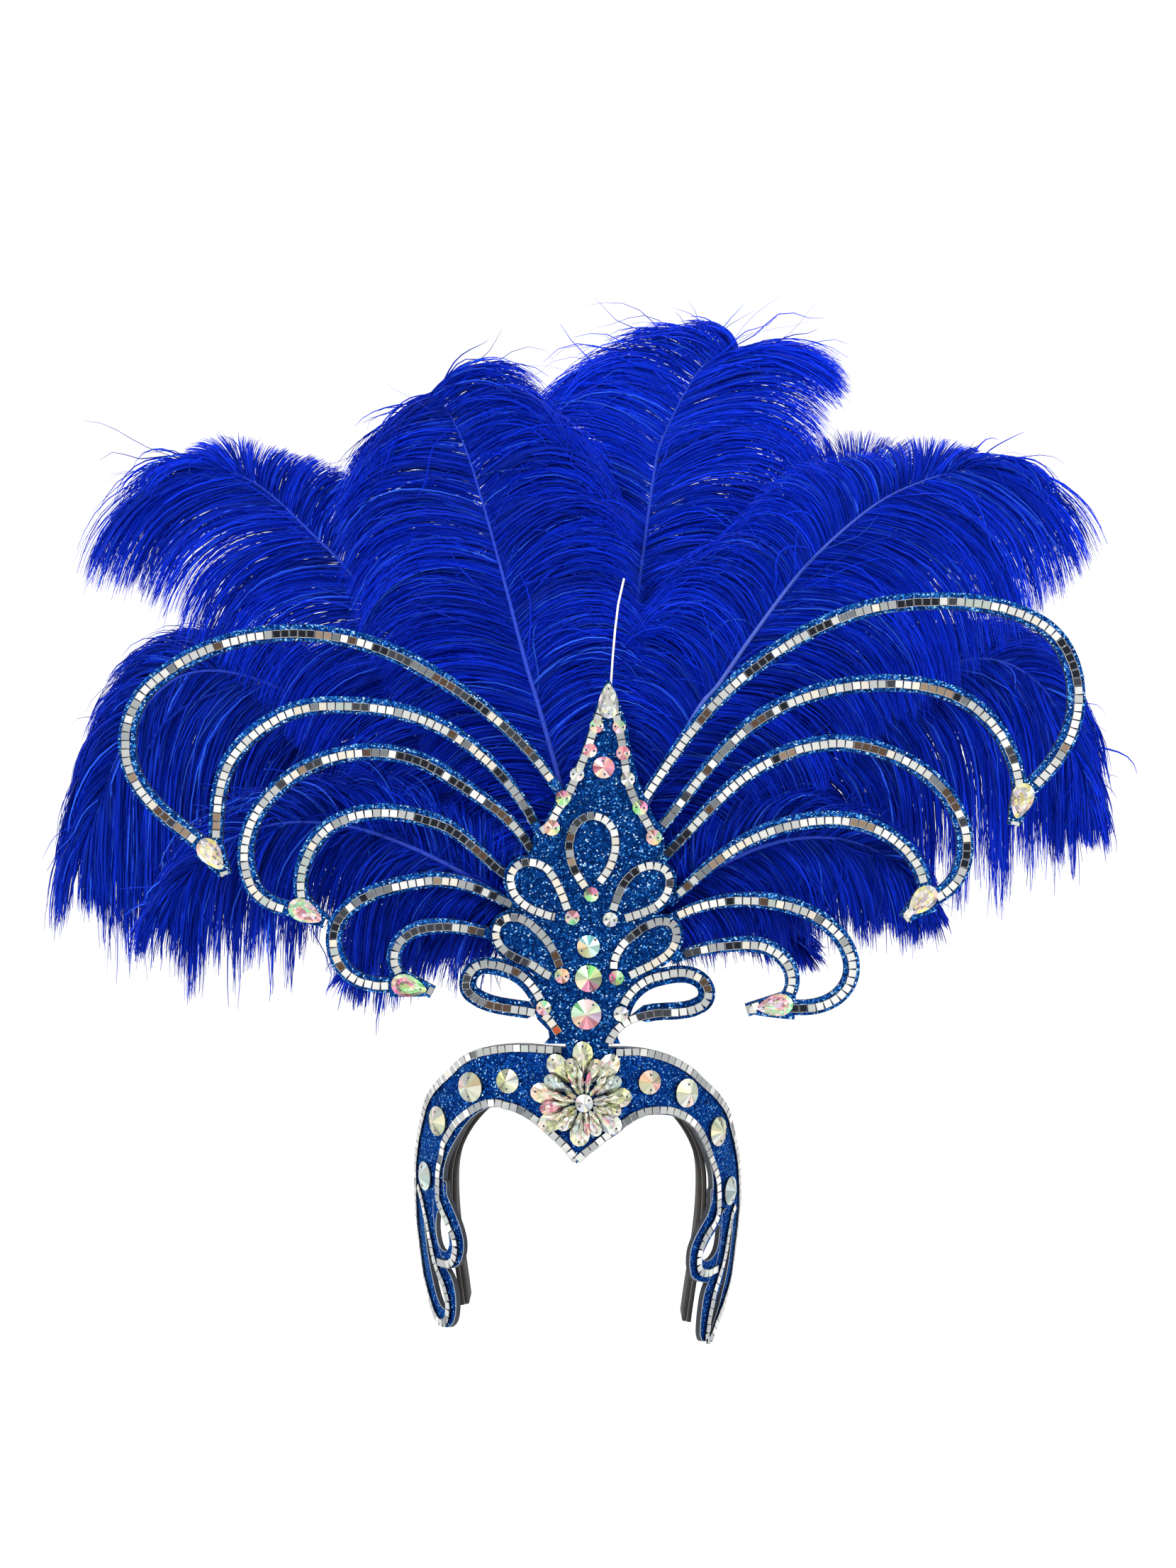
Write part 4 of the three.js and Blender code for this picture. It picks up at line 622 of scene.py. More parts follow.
def lay_tiles(b, line, face, rng, stretch=1.0, skip=None, dark=None, last_tint=None, silver=False, h0=0.12, h1=1.45):
    """Square mirror tiles along a line, each one a little out of true. Each face is tinted with a painted reflection.
    """
    pts, s = resample(line, stretch)
    total = s[-1]
    at = 0.35
    tone_at = rng.uniform(0, 100)
    count = 0
    previous = None

    def point(q):
        q = min(max(q, 0.0), total)
        return np.array([np.interp(q, s, pts[:, 0]), np.interp(q, s, pts[:, 1])])

    while at < total - 1.6:
        a, c = point(at), point(at + TILE)
        m0, m1 = point(at - 3.0), point(at + TILE + 3.0)
        d0, d1 = (a - m0), (m1 - c)
        turn = 0.0
        if np.hypot(*d0) > 1e-6 and np.hypot(*d1) > 1e-6:
            cr = d0[0] * d1[1] - d0[1] * d1[0]
            turn = abs(math.asin(max(-1, min(1, cr / (np.hypot(*d0) * np.hypot(*d1)))))) / 8.0
        inner = 1 - min(0.6, turn * TILE / 2)       # how much the inner edge shortens
        length = min(TILE, TILE * (0.35 + 0.65 * inner) + 0.2)
        length = min(length, total - at)
        pitch = length + 0.22
        q = point(at + length / 2)
        d = point(at + length) - point(at)
        at += pitch
        if skip is not None and skip(q[0] / stretch, q[1]):
            continue
        l = np.hypot(*d)
        if l < 0.6:
            continue
        d = d / l
        half_l, half_w = l / 2 - 0.04, TILE / 2 - 0.05
        side = np.array([-d[1], d[0]])
        slip = rng.normal(0, 0.10)
        yaw = rng.normal(0, 0.018)
        d = np.array([d[0] * math.cos(yaw) - d[1] * math.sin(yaw), d[0] * math.sin(yaw) + d[1] * math.cos(yaw)])
        side = np.array([-d[1], d[0]])
        tilt_a, tilt_b = rng.normal(0, 0.020, 2)
        verts = []
        for level, inset in ((h0, 0.0), (h1 - 0.28, 0.0), (h1, 0.30)):
            for sa, sb in ((-1, -1), (1, -1), (1, 1), (-1, 1)):
                ox = sa * (half_l - inset)
                oz = sb * (half_w - inset)
                p = q + d * ox + side * (oz + slip)
                lift = 0.0 if level == h0 else ox * tilt_a + oz * tilt_b
                verts.append(face(p[0] / stretch, p[1], level + lift))
        faces = [(3, 2, 1, 0), (8, 9, 10, 11)]
        for lo in (0, 4):
            for k in range(4):
                faces.append((lo + k, lo + (k + 1) % 4, lo + 4 + (k + 1) % 4, lo + 4 + k))
        f = at / total
        # painted reflection: the share of dark reflection tints at this place on the line
        share = 0.35 if dark is None else dark(f)
        w = (SILVER_REFLECTION_MIX if silver else LIGHT_REFLECTION_MIX) * (1 - share) + DARK_REFLECTION_MIX * share
        # painted reflection: neighbours often take the same reflected tint
        if previous is not None and rng.random() < 0.45:
            base = previous
        else:
            base = TILE_REFLECTION_TINTS[rng.choice(len(TILE_REFLECTION_TINTS), p=w / w.sum())]
        previous = base
        tone = np.clip(base * rng.uniform(0.9, 1.06), 0, 1)
        if last_tint is not None and at >= total - 1.6:
            tone = np.array(last_tint)
        # the ground edges are pale glass; their brightness is painted light, bright round a dark face and dull round a
        # light one
        rim = tuple(np.clip(0.34 + 0.30 * (0.6 - tone) + rng.normal(0, 0.05), 0.08, 0.8))
        b.add(verts, faces, 0, [(0.05, 0.05, 0.06), tuple(tone)] + [(0.07, 0.08, 0.09)] * 4 + [rim] * 4)
        count += 1
    return count


# -------------------------------------------------------------------- stones
PALETTES = {
    "lime": [(0.25, 0.80, 0.22), (0.48, 0.93, 0.42), (0.74, 0.93, 0.55), (0.93, 0.66, 0.45), (0.90, 0.20, 0.42), (0.30, 0.06, 0.12), (0.13, 0.18, 0.08), (0.55, 0.70, 0.22)],
    "peach": [(0.84, 0.48, 0.46), (0.95, 0.50, 0.26), (0.95, 0.72, 0.36), (0.62, 0.80, 0.30), (0.32, 0.62, 0.36), (0.92, 0.42, 0.50), (0.48, 0.22, 0.14), (0.94, 0.66, 0.52)],
    "rose": [(0.90, 0.22, 0.30), (0.95, 0.42, 0.34), (0.92, 0.30, 0.52), (0.96, 0.66, 0.62), (0.55, 0.10, 0.18), (0.94, 0.62, 0.40), (0.98, 0.80, 0.74), (0.80, 0.24, 0.36)],
    "mixed": [(0.86, 0.60, 0.58), (0.28, 0.78, 0.34), (0.55, 0.90, 0.58), (0.95, 0.66, 0.42), (0.90, 0.36, 0.44), (0.55, 0.20, 0.22), (0.80, 0.58, 0.78), (0.62, 0.72, 0.42)],
    "pale": [(0.72, 0.74, 0.74), (0.88, 0.90, 0.78), (0.60, 0.66, 0.52), (0.90, 0.74, 0.76), (0.34, 0.36, 0.30), (0.70, 0.72, 0.88), (0.86, 0.86, 0.62), (0.52, 0.58, 0.60)],
    "sea": [(0.24, 0.66, 0.70), (0.12, 0.36, 0.42), (0.93, 0.66, 0.40), (0.30, 0.26, 0.08), (0.52, 0.56, 0.26), (0.60, 0.82, 0.72), (0.30, 0.62, 0.54), (0.70, 0.88, 0.86)],
    "citron": [(0.90, 0.84, 0.30), (0.96, 0.92, 0.62), (0.62, 0.60, 0.58), (0.82, 0.66, 0.78), (0.94, 0.80, 0.24), (0.30, 0.28, 0.30), (0.86, 0.56, 0.44), (0.88, 0.88, 0.86)],
    "straw": [(0.74, 0.80, 0.58), (0.84, 0.84, 0.66), (0.93, 0.76, 0.44), (0.52, 0.54, 0.36), (0.88, 0.90, 0.84), (0.86, 0.60, 0.52), (0.66, 0.76, 0.60), (0.40, 0.42, 0.30)],
    "fog": [(0.42, 0.56, 0.52), (0.54, 0.66, 0.60), (0.34, 0.46, 0.44), (0.60, 0.66, 0.60), (0.48, 0.60, 0.62), (0.26, 0.34, 0.34), (0.52, 0.58, 0.50), (0.66, 0.74, 0.70)],
    "amber": [(0.92, 0.56, 0.34), (0.80, 0.72, 0.40), (0.62, 0.66, 0.42), (0.90, 0.80, 0.62), (0.86, 0.42, 0.36), (0.42, 0.32, 0.18), (0.72, 0.74, 0.54), (0.90, 0.66, 0.50)],
    "olive": [(0.76, 0.80, 0.34), (0.50, 0.54, 0.24), (0.26, 0.26, 0.14), (0.66, 0.74, 0.50), (0.88, 0.84, 0.52), (0.60, 0.66, 0.58), (0.84, 0.70, 0.60), (0.42, 0.44, 0.28)],
}


def ab_colour(palette, turn, rng, mix=0.10):
    p = PALETTES[palette]
    f = (turn / (2 * math.pi)) % 1.0 * len(p)
    i = int(f) % len(p)
    j = (i + 1) % len(p)
    t = 1.0 if f - int(f) > 0.7 else 0.0
    c = [p[i][k] * (1 - t) + p[j][k] * t for k in range(3)]
    # painted reflections and highlights: each facet takes a random brightness and a random share of white
    g = rng.uniform(0.48, 1.02)
    w = rng.uniform(0, mix * 2)
    return tuple(min(1.0, (c[k] * (1 - w) + w) * g) for k in range(3))


def stone_frame(face, u, v, stretch=1.0):
    o = Vector(face(u, v, 0))
    e = (Vector(face(u + 0.5 / stretch, v, 0)) - o).normalized()
    f = (Vector(face(u, v + 0.5, 0)) - o).normalized()
    n = e.cross(f).normalized()
    f = n.cross(e).normalized()
    return o, e, f, n


def cut_stone(b, face, u, v, outline, rng, palette="lime", stretch=1.0, base=0.3, wall=1.0, high=3.6,
              tilt=0.0, rings=((0.62, 0.62), (0.2, 0.97)), holes=(), phase=0.0, shift=(0.0, 0.0)):
    """A flat-backed faceted stone. Rings are (scale of the outline, share of the
    rise); alternate rings are turned half a step, so the facets are kites.
    Materials: 0 stone, 1 hole, 2 rim of a hole."""
    o, e, f, n = stone_frame(face, u, v, stretch)
    c, s = math.cos(math.radians(tilt)), math.sin(math.radians(tilt))

    def put(p, q, h):
        return tuple(o + e * (p * c - q * s) + f * (p * s + q * c) + n * h)

    k = len(outline)
    out = np.array(outline, dtype=float)
    mid = (out + np.roll(out, -1, axis=0)) / 2
    verts = [put(p, q, base) for p, q in out]
    verts += [put(p, q, base + wall) for p, q in out]
    faces = [tuple(range(k))[::-1]]
    tints = [(0.1, 0.1, 0.1)]
    for i in range(k):
        j = (i + 1) % k
        faces.append((i, j, k + j, k + i))
        # painted shade: each side wall takes 0.28 of its facet colour, a dark outline round the stone
        tints.append(tuple(0.28 * c_ for c_ in ab_colour(palette, phase + 2 * math.pi * i / k, rng)))
    prev_start, prev_turned = k, False
    for level, (sc, rise) in enumerate(rings):
        turned = not prev_turned
        src = mid if turned else out
        start = len(verts)
        for p, q in src:
            verts.append(put(p * sc + shift[0] * (1 - sc), q * sc + shift[1] * (1 - sc), base + wall + (high - wall) * rise))
        for i in range(k):
            j = (i + 1) % k
            col = ab_colour(palette, phase + 2 * math.pi * i / k + level * 1.3, rng)
            col2 = ab_colour(palette, phase + 2 * math.pi * (i + 0.5) / k + level * 1.3 + 0.4, rng)
            if turned:
                faces.append((prev_start + i, prev_start + j, start + i))
                tints.append(col)
                faces.append((prev_start + j, start + j, start + i))
                tints.append(col2)
            else:
                faces.append((prev_start + i, start + j, start + i))
                tints.append(col)
                faces.append((prev_start + i, prev_start + j, start + j))
                tints.append(col2)
        prev_start, prev_turned = start, turned
    faces.append(tuple(prev_start + i for i in range(k)))
    tints.append(ab_colour(palette, phase, rng))
    b.add(verts, faces, 0, tints)
    # sewing holes: a pale rim and a dark middle, set on the facets; the dark middle is painted shade of the hole's
    # depth
    for hx, hz in holes:
        rad = math.hypot(hx, hz)
        edge = max(np.hypot(out[:, 0], out[:, 1]).max(), 1e-6)
        lift = base + wall + (high - wall) * max(0.0, min(1.0, (1 - rad / edge) / (1 - rings[0][0]))) * rings[0][1] + 0.22
        for radius, h, mat in ((1.0, 0.0, 2), (0.74, 0.12, 1)):
            ring = [put(hx + radius * math.cos(t), hz + radius * math.sin(t), lift + h) for t in np.linspace(0, 2 * math.pi, 10, endpoint=False)]
            low = [put(hx + radius * math.cos(t), hz + radius * math.sin(t), lift - 0.5) for t in np.linspace(0, 2 * math.pi, 10, endpoint=False)]
            fs = [tuple(range(10))] + [(10 + i, 10 + (i + 1) % 10, (i + 1) % 10, i) for i in range(10)]
            b.add(ring + low, fs, mat, (0.62, 0.64, 0.60) if mat == 2 else (0.05, 0.05, 0.05))


def disc(r, sides, phase=0.0):
    return [(r * math.cos(2 * math.pi * (i + 0.5) / sides + phase), r * math.sin(2 * math.pi * (i + 0.5) / sides + phase)) for i in range(sides)]


def drop(length, width, sides=16):
    out = []
    for i in range(sides):
        t = 2 * math.pi * i / sides
        q = (1 + math.cos(t)) / 2
        out.append((length / 2 * math.cos(t), width / 2 * math.sin(t) * (1.12 - 0.62 * q ** 1.6)))
    return out


STONE_MATS = [CRYSTAL, HOLE, CRYSTAL]
ROUND_RINGS = ((0.06, 1.0),)
SMALL_RINGS = ((0.10, 1.0),)


def stone_piece(name, build, nodes):
    ob = new_piece(name, build.v, build.f, STONE_MATS, build.m, tint_faces=build.t)
    fix_normals(ob)
    finish_piece(ob, nodes)
    return ob


# =============================================================== foam pieces
FOAM_MATS = [GLITTER, GLITTER, BACK, EDGE]
BROW_MATS = [GLITTER_BROW, RIM, BACK, EDGE]


def arm_line(name, steps):
    side, back, rows = ARMS[name]
    line = heading_curve(rows, steps)
    r = rows[0]
    c, s = math.cos(math.radians(r[2])), math.sin(math.radians(r[2]))
    return [(r[0] - back * c, r[1] - back * s, 0.0)] + line


def lobe_outline(lobe, offset, steps=9.0):
    line = heading_curve(lobe[5], steps)
    sign = 1 if lobe[5][-1][2] - lobe[5][0][2] < 0 else -1
    nrm = left_normals(line)
    return [(p[0] + sign * offset * nrm[i][0], p[1] + sign * offset * nrm[i][1]) for i, p in enumerate(line)]


body_poly = [(r, z) for z, l, r in BODY] + [(l, z) for z, l, r in reversed(BODY)]
lobe_polys = [lobe_outline(l, LOBE_MARGIN + 1.4, 4) for l in LOBES]


def under_panel(x, z):
    return inside(x, z, body_poly) or any(inside(x, z, p) for p in lobe_polys)


for name, outer, inner, sx, sz, tx, tz, tdir in TIPS:
    b = Build()
    for arm, inset, end in ((outer, 0.0, None), (inner, 0.06, (tx, tz))):
        side, back, rows = ARMS[arm]
        line = arm_line(arm, 11)
        if end:
            line = line + [(end[0], end[1], float(len(rows) - 1))]
        out = lambda p, i, rows=rows: column(rows, 3, p[2])
        inn = lambda p, i, rows=rows: column(rows, 4, p[2])
        left, right = (inn, out) if side < 0 else (out, inn)
        el, er = offset_edges(line, left, right)
        foam_loft(b, el, er, wing_face, -FOAM + inset, -inset, across=2, bevel=0.6)
    e = ARMS[outer][2][-1]
    d1 = tdir
    while d1 - e[2] > 180:
        d1 -= 360
    while e[2] - d1 > 180:
        d1 += 360
    line = heading_curve([(e[0], e[1], e[2]), (tx, tz, d1)], 14)
    last = len(line) - 1
    half = lambda p, i, last=last: 0.7 + 6.6 * math.sqrt(max(0.0, 1 - (i / last) ** 1.7))
    el, er = offset_edges(line, half, half)
    foam_loft(b, el, er, wing_face, -FOAM + 0.1, -0.1, across=2, bevel=0.6)
    ob = new_piece("foam_wing_" + name, b.v, b.f, FOAM_MATS, b.m)
    fix_normals(ob)
    finish_piece(ob, ["wing_" + name])

# panel: plates joined, then softened along the front edge
_wm = bpy.context.scene.collection


def plate_object(outline, front, back):
    """A flat plate of an outline, used while the panel is put together."""
    me = bpy.data.meshes.new("plate")
    n = len(outline)
    v = [(x * MM, front * MM, z * MM) for x, z in outline] + [(x * MM, back * MM, z * MM) for x, z in outline]
    f = [tuple(range(n)), tuple(reversed(range(n, 2 * n)))] + [(i, n + i, n + (i + 1) % n, (i + 1) % n) for i in range(n)]
    me.from_pydata(v, [], f)
    bm = bmesh.new()
    bm.from_mesh(me)
    bmesh.ops.recalc_face_normals(bm, faces=bm.faces)
    bm.to_mesh(me)
    bm.free()
    ob = bpy.data.objects.new("plate", me)
    _wm.objects.link(ob)
    return ob


def cleaned(outline, gap=0.35):
    out = []
    for p in outline:
        if not out or math.hypot(p[0] - out[-1][0], p[1] - out[-1][1]) > gap:
            out.append(p)
    if math.hypot(out[0][0] - out[-1][0], out[0][1] - out[-1][1]) <= gap:
        out.pop()
    return out


def boolean(target, tool, operation):
    mod = target.modifiers.new("join", "BOOLEAN")
    mod.operation = operation
    mod.object = tool
    mod.solver = "EXACT"
    dg = bpy.context.evaluated_depsgraph_get()
    me = bpy.data.meshes.new_from_object(target.evaluated_get(dg))
    target.modifiers.clear()
    old = target.data
    target.data = me
    bpy.data.meshes.remove(old)
    bpy.data.objects.remove(tool, do_unlink=True)


panel = plate_object(cleaned(body_poly), PANEL_FRONT, PANEL_BACK)
for i, l in enumerate(LOBES):
    boolean(panel, plate_object(cleaned(lobe_outline(l, LOBE_MARGIN)), PANEL_FRONT + 0.0, PANEL_BACK), "UNION")
for l in LOBES:
    if l[4]:
        boolean(panel, plate_object(cleaned(lobe_outline(l, -HOLE_INSET)), PANEL_FRONT - 2, PANEL_BACK + 2), "DIFFERENCE")
bm = bmesh.new()
bm.from_mesh(panel.data)
bmesh.ops.remove_doubles(bm, verts=bm.verts, dist=0.00004)
bmesh.ops.dissolve_limit(bm, angle_limit=0.02, verts=bm.verts, edges=bm.edges)
bmesh.ops.recalc_face_normals(bm, faces=bm.faces)
rim = []
for ed in bm.edges:
    if len(ed.link_faces) == 2 and all(abs(v.co.y - PANEL_FRONT * MM) < 1e-5 for v in ed.verts):
        n0, n1 = ed.link_faces[0].normal, ed.link_faces[1].normal
        if n0.dot(n1) < 0.5:
            rim.append(ed)
bmesh.ops.bevel(bm, geom=rim, offset=0.0006, segments=2, affect="EDGES", profile=0.6, clamp_overlap=True)
for fc in bm.faces:
    if fc.normal.y < -0.97:
        fc.material_index = 0
    elif fc.normal.y > 0.97:
        fc.material_index = 2
    elif abs(fc.normal.y) < 0.1:
        fc.material_index = 3
    else:
        fc.material_index = 1
bmesh.ops.triangulate(bm, faces=[fc for fc in bm.faces if len(fc.verts) > 4])
panel.data.materials.clear()
for m in (GLITTER_PANEL, GLITTER_PANEL, BACK, EDGE):
    panel.data.materials.append(m)
bm.to_mesh(panel.data)
bm.free()
panel.name = "foam_panel"
panel.data.name = "foam_panel"
finish_piece(panel, ["centre_panel"])

# brow band with the loops of its tabs
b = Build()
for side in ("left", "right"):
    outer = heading_curve(BROW_OUTER[side], 12, ARC)
    inner = heading_curve(BROW_INNER[side], 12, ARC)

    def pick(line, t):
        f = t * (len(line) - 1)
        i = min(len(line) - 2, int(f))
        u = f - i
        return (line[i][0] * (1 - u) + line[i + 1][0] * u, line[i][1] * (1 - u) + line[i + 1][1] * u)

    count = 72
    ea = [pick(outer, i / count) for i in range(count + 1)]
    eb = [pick(inner, i / count) for i in range(count + 1)]
    foam_loft(b, ea, eb, brow_face, -FOAM, 0.0, across=12, caps=True, bevel=0.35)
for key, rows in TAB_LOOPS.items():
    inset = 0.1 if "long" in key else 0.2
    el = closed_curve([(r[0], r[1]) for r in rows], 6)
    er = closed_curve([(r[2], r[3]) for r in rows], 6)
    foam_loft(b, el, er, brow_face, -FOAM + inset, -inset, across=2, closed=True, bevel=0.35)
ob = new_piece("foam_brow", b.v, b.f, BROW_MATS, b.m)
fix_normals(ob)
finish_piece(ob, ["brow_band"])

# ==================================================================== strips
for name, outer, inner, sx, sz, tx, tz, tdir in TIPS:
    b = Build()
    rng = np.random.default_rng(sum(map(ord, name)))
    stone_spot = (sx, sz)

    def skip(x, z, stone_spot=stone_spot, tdir=tdir):
        if under_panel(x, z):
            return True
        dx, dz = x - stone_spot[0], z - stone_spot[1]
        c, s = math.cos(math.radians(tdir)), math.sin(math.radians(tdir))
        return ((dx * c + dz * s) / 11.5) ** 2 + ((-dx * s + dz * c) / 7.6) ** 2 < 1.0

    for arm in (outer, inner):
        rows = ARMS[arm][2]
        line = heading_curve(rows, 16) + [(tx, tz, 0)]
        # painted reflection: near the panel the tiles are tinted dark as if they showed the dark room, further out
        # light
        if arm.startswith("left"):
            dark = lambda f: 0.92 if f < 0.36 else (0.55 if f < 0.5 else 0.10)
        elif arm == "right1":
            dark = lambda f: 0.15 if f < 0.12 else (0.5 if f < 0.5 else 0.12)
        else:
            dark = lambda f: 0.60 if f < 0.28 else (0.14 if f < 0.7 else 0.18)
        lay_tiles(b, line, wing_face, rng, skip=skip, dark=dark)
    ob = new_piece("tiles_wing_" + name, b.v, b.f, [TILE_MAT], b.m, tint_faces=b.t)
    finish_piece(ob, ["trim_wing_" + name])
    sb = Build()
    cut_stone(sb, wing_face, sx, sz, drop(22.5, 14.6), rng, {"upper_left": "citron", "middle_left": "mixed", "lower_left": "lime", "upper_right": "citron", "middle_right": "citron"}.get(name, "mixed"), base=1.5, wall=0.9, high=4.4, tilt=tdir,
              rings=((0.74, 0.45), (0.46, 0.9), (0.22, 1.0)), shift=(-1.5, 0), holes=((-7.6, 0), (7.2, 0)), phase=rng.uniform(0, 6))
    stone_piece("drop_tip_" + name, sb, ["stone_tip_" + name])

b, sb = Build(), Build()
rng = np.random.default_rng(7)
for rows in (SPIRE_LEFT, SPIRE_RIGHT):
    lay_tiles(b, heading_curve(rows, 12), panel_face, rng, dark=lambda f: 0.0, silver=True)
for i, (x, z, r) in enumerate(SPIRE_STONES):
    cut_stone(sb, panel_face, x, z, disc(r, 10), rng, ("mixed", "rose", "pale", "lime", "peach")[i % 5], base=1.5, wall=0.5, high=2.7,
              rings=SMALL_RINGS, holes=((-2.4, 0.2), (2.4, -0.2)), phase=rng.uniform(0, 6))
ob = new_piece("tiles_spire", b.v, b.f, [TILE_MAT], b.m, tint_faces=b.t)
finish_piece(ob, ["trim_spire"])
stone_piece("stones_spire_edge", sb, [])

for l in LOBES:
    name, x, z, r, is_open, loop, foot = l
    rng = np.random.default_rng(sum(map(ord, name)) + 3)
    b, sb = Build(), Build()
    rows = unwound(loop + foot) if foot else loop
    skip = lambda px, pz, x=x, z=z, r=r: math.hypot(px - x, pz - z) < r + 1.2
    # painted reflection: the middle of each loop's tiles takes more dark reflection tints
    lay_tiles(b, heading_curve(rows, 14), panel_face, rng, skip=skip,
              dark=lambda f: 0.62 if 0.2 < f < 0.62 else 0.35, last_tint=(0.52, 0.11, 0.05) if name == "lower_left" else None)
    cut_stone(sb, panel_face, x, z, disc(r, 10), rng, ("lime", "mixed", "pale", "peach")[LOBES.index(l) % 4], base=0.9, wall=0.9, high=3.6,
              rings=SMALL_RINGS, holes=((-2.5, 0.3), (2.5, -0.3)), phase=rng.uniform(0, 6))
    ob = new_piece("tiles_lobe_" + name, b.v, b.f, [TILE_MAT], b.m, tint_faces=b.t)
    finish_piece(ob, ["trim_lobe_" + name])
    stone_piece("stone_lobe_" + name, sb, [])

sb = Build()
rng = np.random.default_rng(11)
x, z, ln, wd, dr = SPIRE_DROP
cut_stone(sb, panel_face, x, z, drop(ln, wd), rng, "pale", base=1.5, wall=0.9, high=4.6, tilt=dr,
          rings=((0.74, 0.45), (0.46, 0.9), (0.22, 1.0)), shift=(-1.5, 0), holes=((-7.8, 0), (7.6, 0)), phase=1.0)
stone_piece("drop_spire", sb, ["stone_spire_drop"])
for name, x, z, r, pal in PANEL_STONES:
    sb = Build()
    cut_stone(sb, panel_face, x, z, disc(r, 16), rng, pal, wall=0.9, high=1.0 + r * 0.40, rings=ROUND_RINGS,
              holes=PANEL_HOLES[name], phase=PANEL_PHASE[name])
    stone_piece("round_" + name[6:], sb, [name])
for name, deg, z, r, pal in BROW_STONES:
    sb = Build()
    cut_stone(sb, brow_face, deg, z, disc(r, 16), rng, pal, stretch=ARC, wall=0.9, high=1.0 + r * 0.38, rings=ROUND_RINGS,
              holes=((0, r * 0.62), (0, -r * 0.62)), phase=rng.uniform(0, 6))
    stone_piece("round_" + name[6:], sb, [name])

rng = np.random.default_rng(23)
b = Build()
for rows in (HEART_STRIP, HEART_STRIP_R):
    lay_tiles(b, heading_curve(unwound(rows), 12, ARC), brow_face, rng, stretch=ARC, dark=lambda f: 0.0, silver=True)
ob = new_piece("tiles_brow_heart", b.v, b.f, [TILE_MAT], b.m, tint_faces=b.t)
finish_piece(ob, ["trim_brow_heart"])
for side in ("left", "right"):
    b = Build()
    lay_tiles(b, heading_curve(unwound(OUTER_STRIP[side]), 12, ARC), brow_face, rng, stretch=ARC, dark=lambda f: 0.0, silver=True)
    ob = new_piece("tiles_brow_" + side, b.v, b.f, [TILE_MAT], b.m, tint_faces=b.t)
    finish_piece(ob, ["trim_brow_" + side])

# rosette: two tiers of sewn drops, a burst of slim cut stones, a middle stone
sb = Build()
rng = np.random.default_rng(5)
OUTER_TONES = ("olive", "straw", "olive", "pale", "straw", "olive", "amber", "olive")
MIDDLE_TONES = ("olive", "straw", "fog", "olive", "pale", "straw", "rose", "fog")
BURST_TONES = ("pale", "straw", "olive", "fog", "mixed", "straw", "pale", "rose")
for tier, (spots, half, base, high) in enumerate(((ROSETTE_OUTER, 6.5, 0.35, 3.0), (ROSETTE_MIDDLE, 4.6, 1.9, 4.4))):
    for i, (dx, dz) in enumerate(spots):
        far, ang = math.hypot(dx, dz), math.atan2(dz, dx)
        ln = (21.0, 16.0)[tier]
        mid = far + half - ln / 2
        cut_stone(sb, panel_face, ROSETTE_X + mid * math.cos(ang), ROSETTE_Z + mid * math.sin(ang), drop(ln, half * 2.05, 14), rng,
                  (OUTER_TONES, MIDDLE_TONES)[tier][i], base=base, wall=0.8, high=high, tilt=math.degrees(ang) + 180,
                  rings=((0.55, 0.8), (0.2, 1.0)), shift=(-ln * 0.05, 0), holes=((-(ln / 2 - 3.0), 0),), phase=rng.uniform(0, 6))
for ring, (count, near, ln0, wide, base) in enumerate(((16, 8.5, 12.5, 2.1, 4.4), (14, 5.0, 10.0, 1.7, 5.0))):
    for i in range(count):
        ang = 2 * math.pi * (i + 0.3 + 0.5 * ring) / count + rng.normal(0, 0.06)
        ln = ln0 + rng.uniform(-1.2, 1.6)
        mid = near + ln / 2
        outline = [(ln / 2 * math.cos(t), wide * math.sin(t)) for t in np.linspace(0, 2 * math.pi, 6, endpoint=False)]
        cut_stone(sb, panel_face, ROSETTE_X + mid * math.cos(ang), ROSETTE_Z + mid * math.sin(ang), outline, rng,
                  BURST_TONES[int(rng.integers(0, 8))], base=base + 0.3 * (i % 2), wall=0.4, high=2.2,
                  tilt=math.degrees(ang) + 180, rings=((0.25, 1.0),), phase=rng.uniform(0, 6))
cut_stone(sb, panel_face, ROSETTE_X, ROSETTE_Z, disc(ROSETTE_R, 14), rng, "pale", base=5.2, wall=1.0, high=3.4, rings=SMALL_RINGS,
          holes=((-2.9, -1.8), (3.0, 2.0)), phase=0.4)
stone_piece("rosette_stones", sb, ["rosette"])

# ====================================================================== hoop
inner = heading_curve(HOOP["left"], 14)[::-1] + heading_curve(HOOP["right"], 14)[1:]
nrm = left_normals(inner)
b = Build()


def rounded(depth, thick, radius, steps=3):
    """Cross-section of one padded layer: (across the thickness, front to back)."""
    pts = []
    for cx, cy, a0 in ((thick - radius, depth - radius, 0), (radius, depth - radius, 90), (radius, radius, 180), (thick - radius, radius, 270)):
        for k in range(steps + 1):
            a = math.radians(a0 + 90 * k / steps)
            pts.append((cx + radius * math.cos(a), cy + radius * math.sin(a)))
    return pts


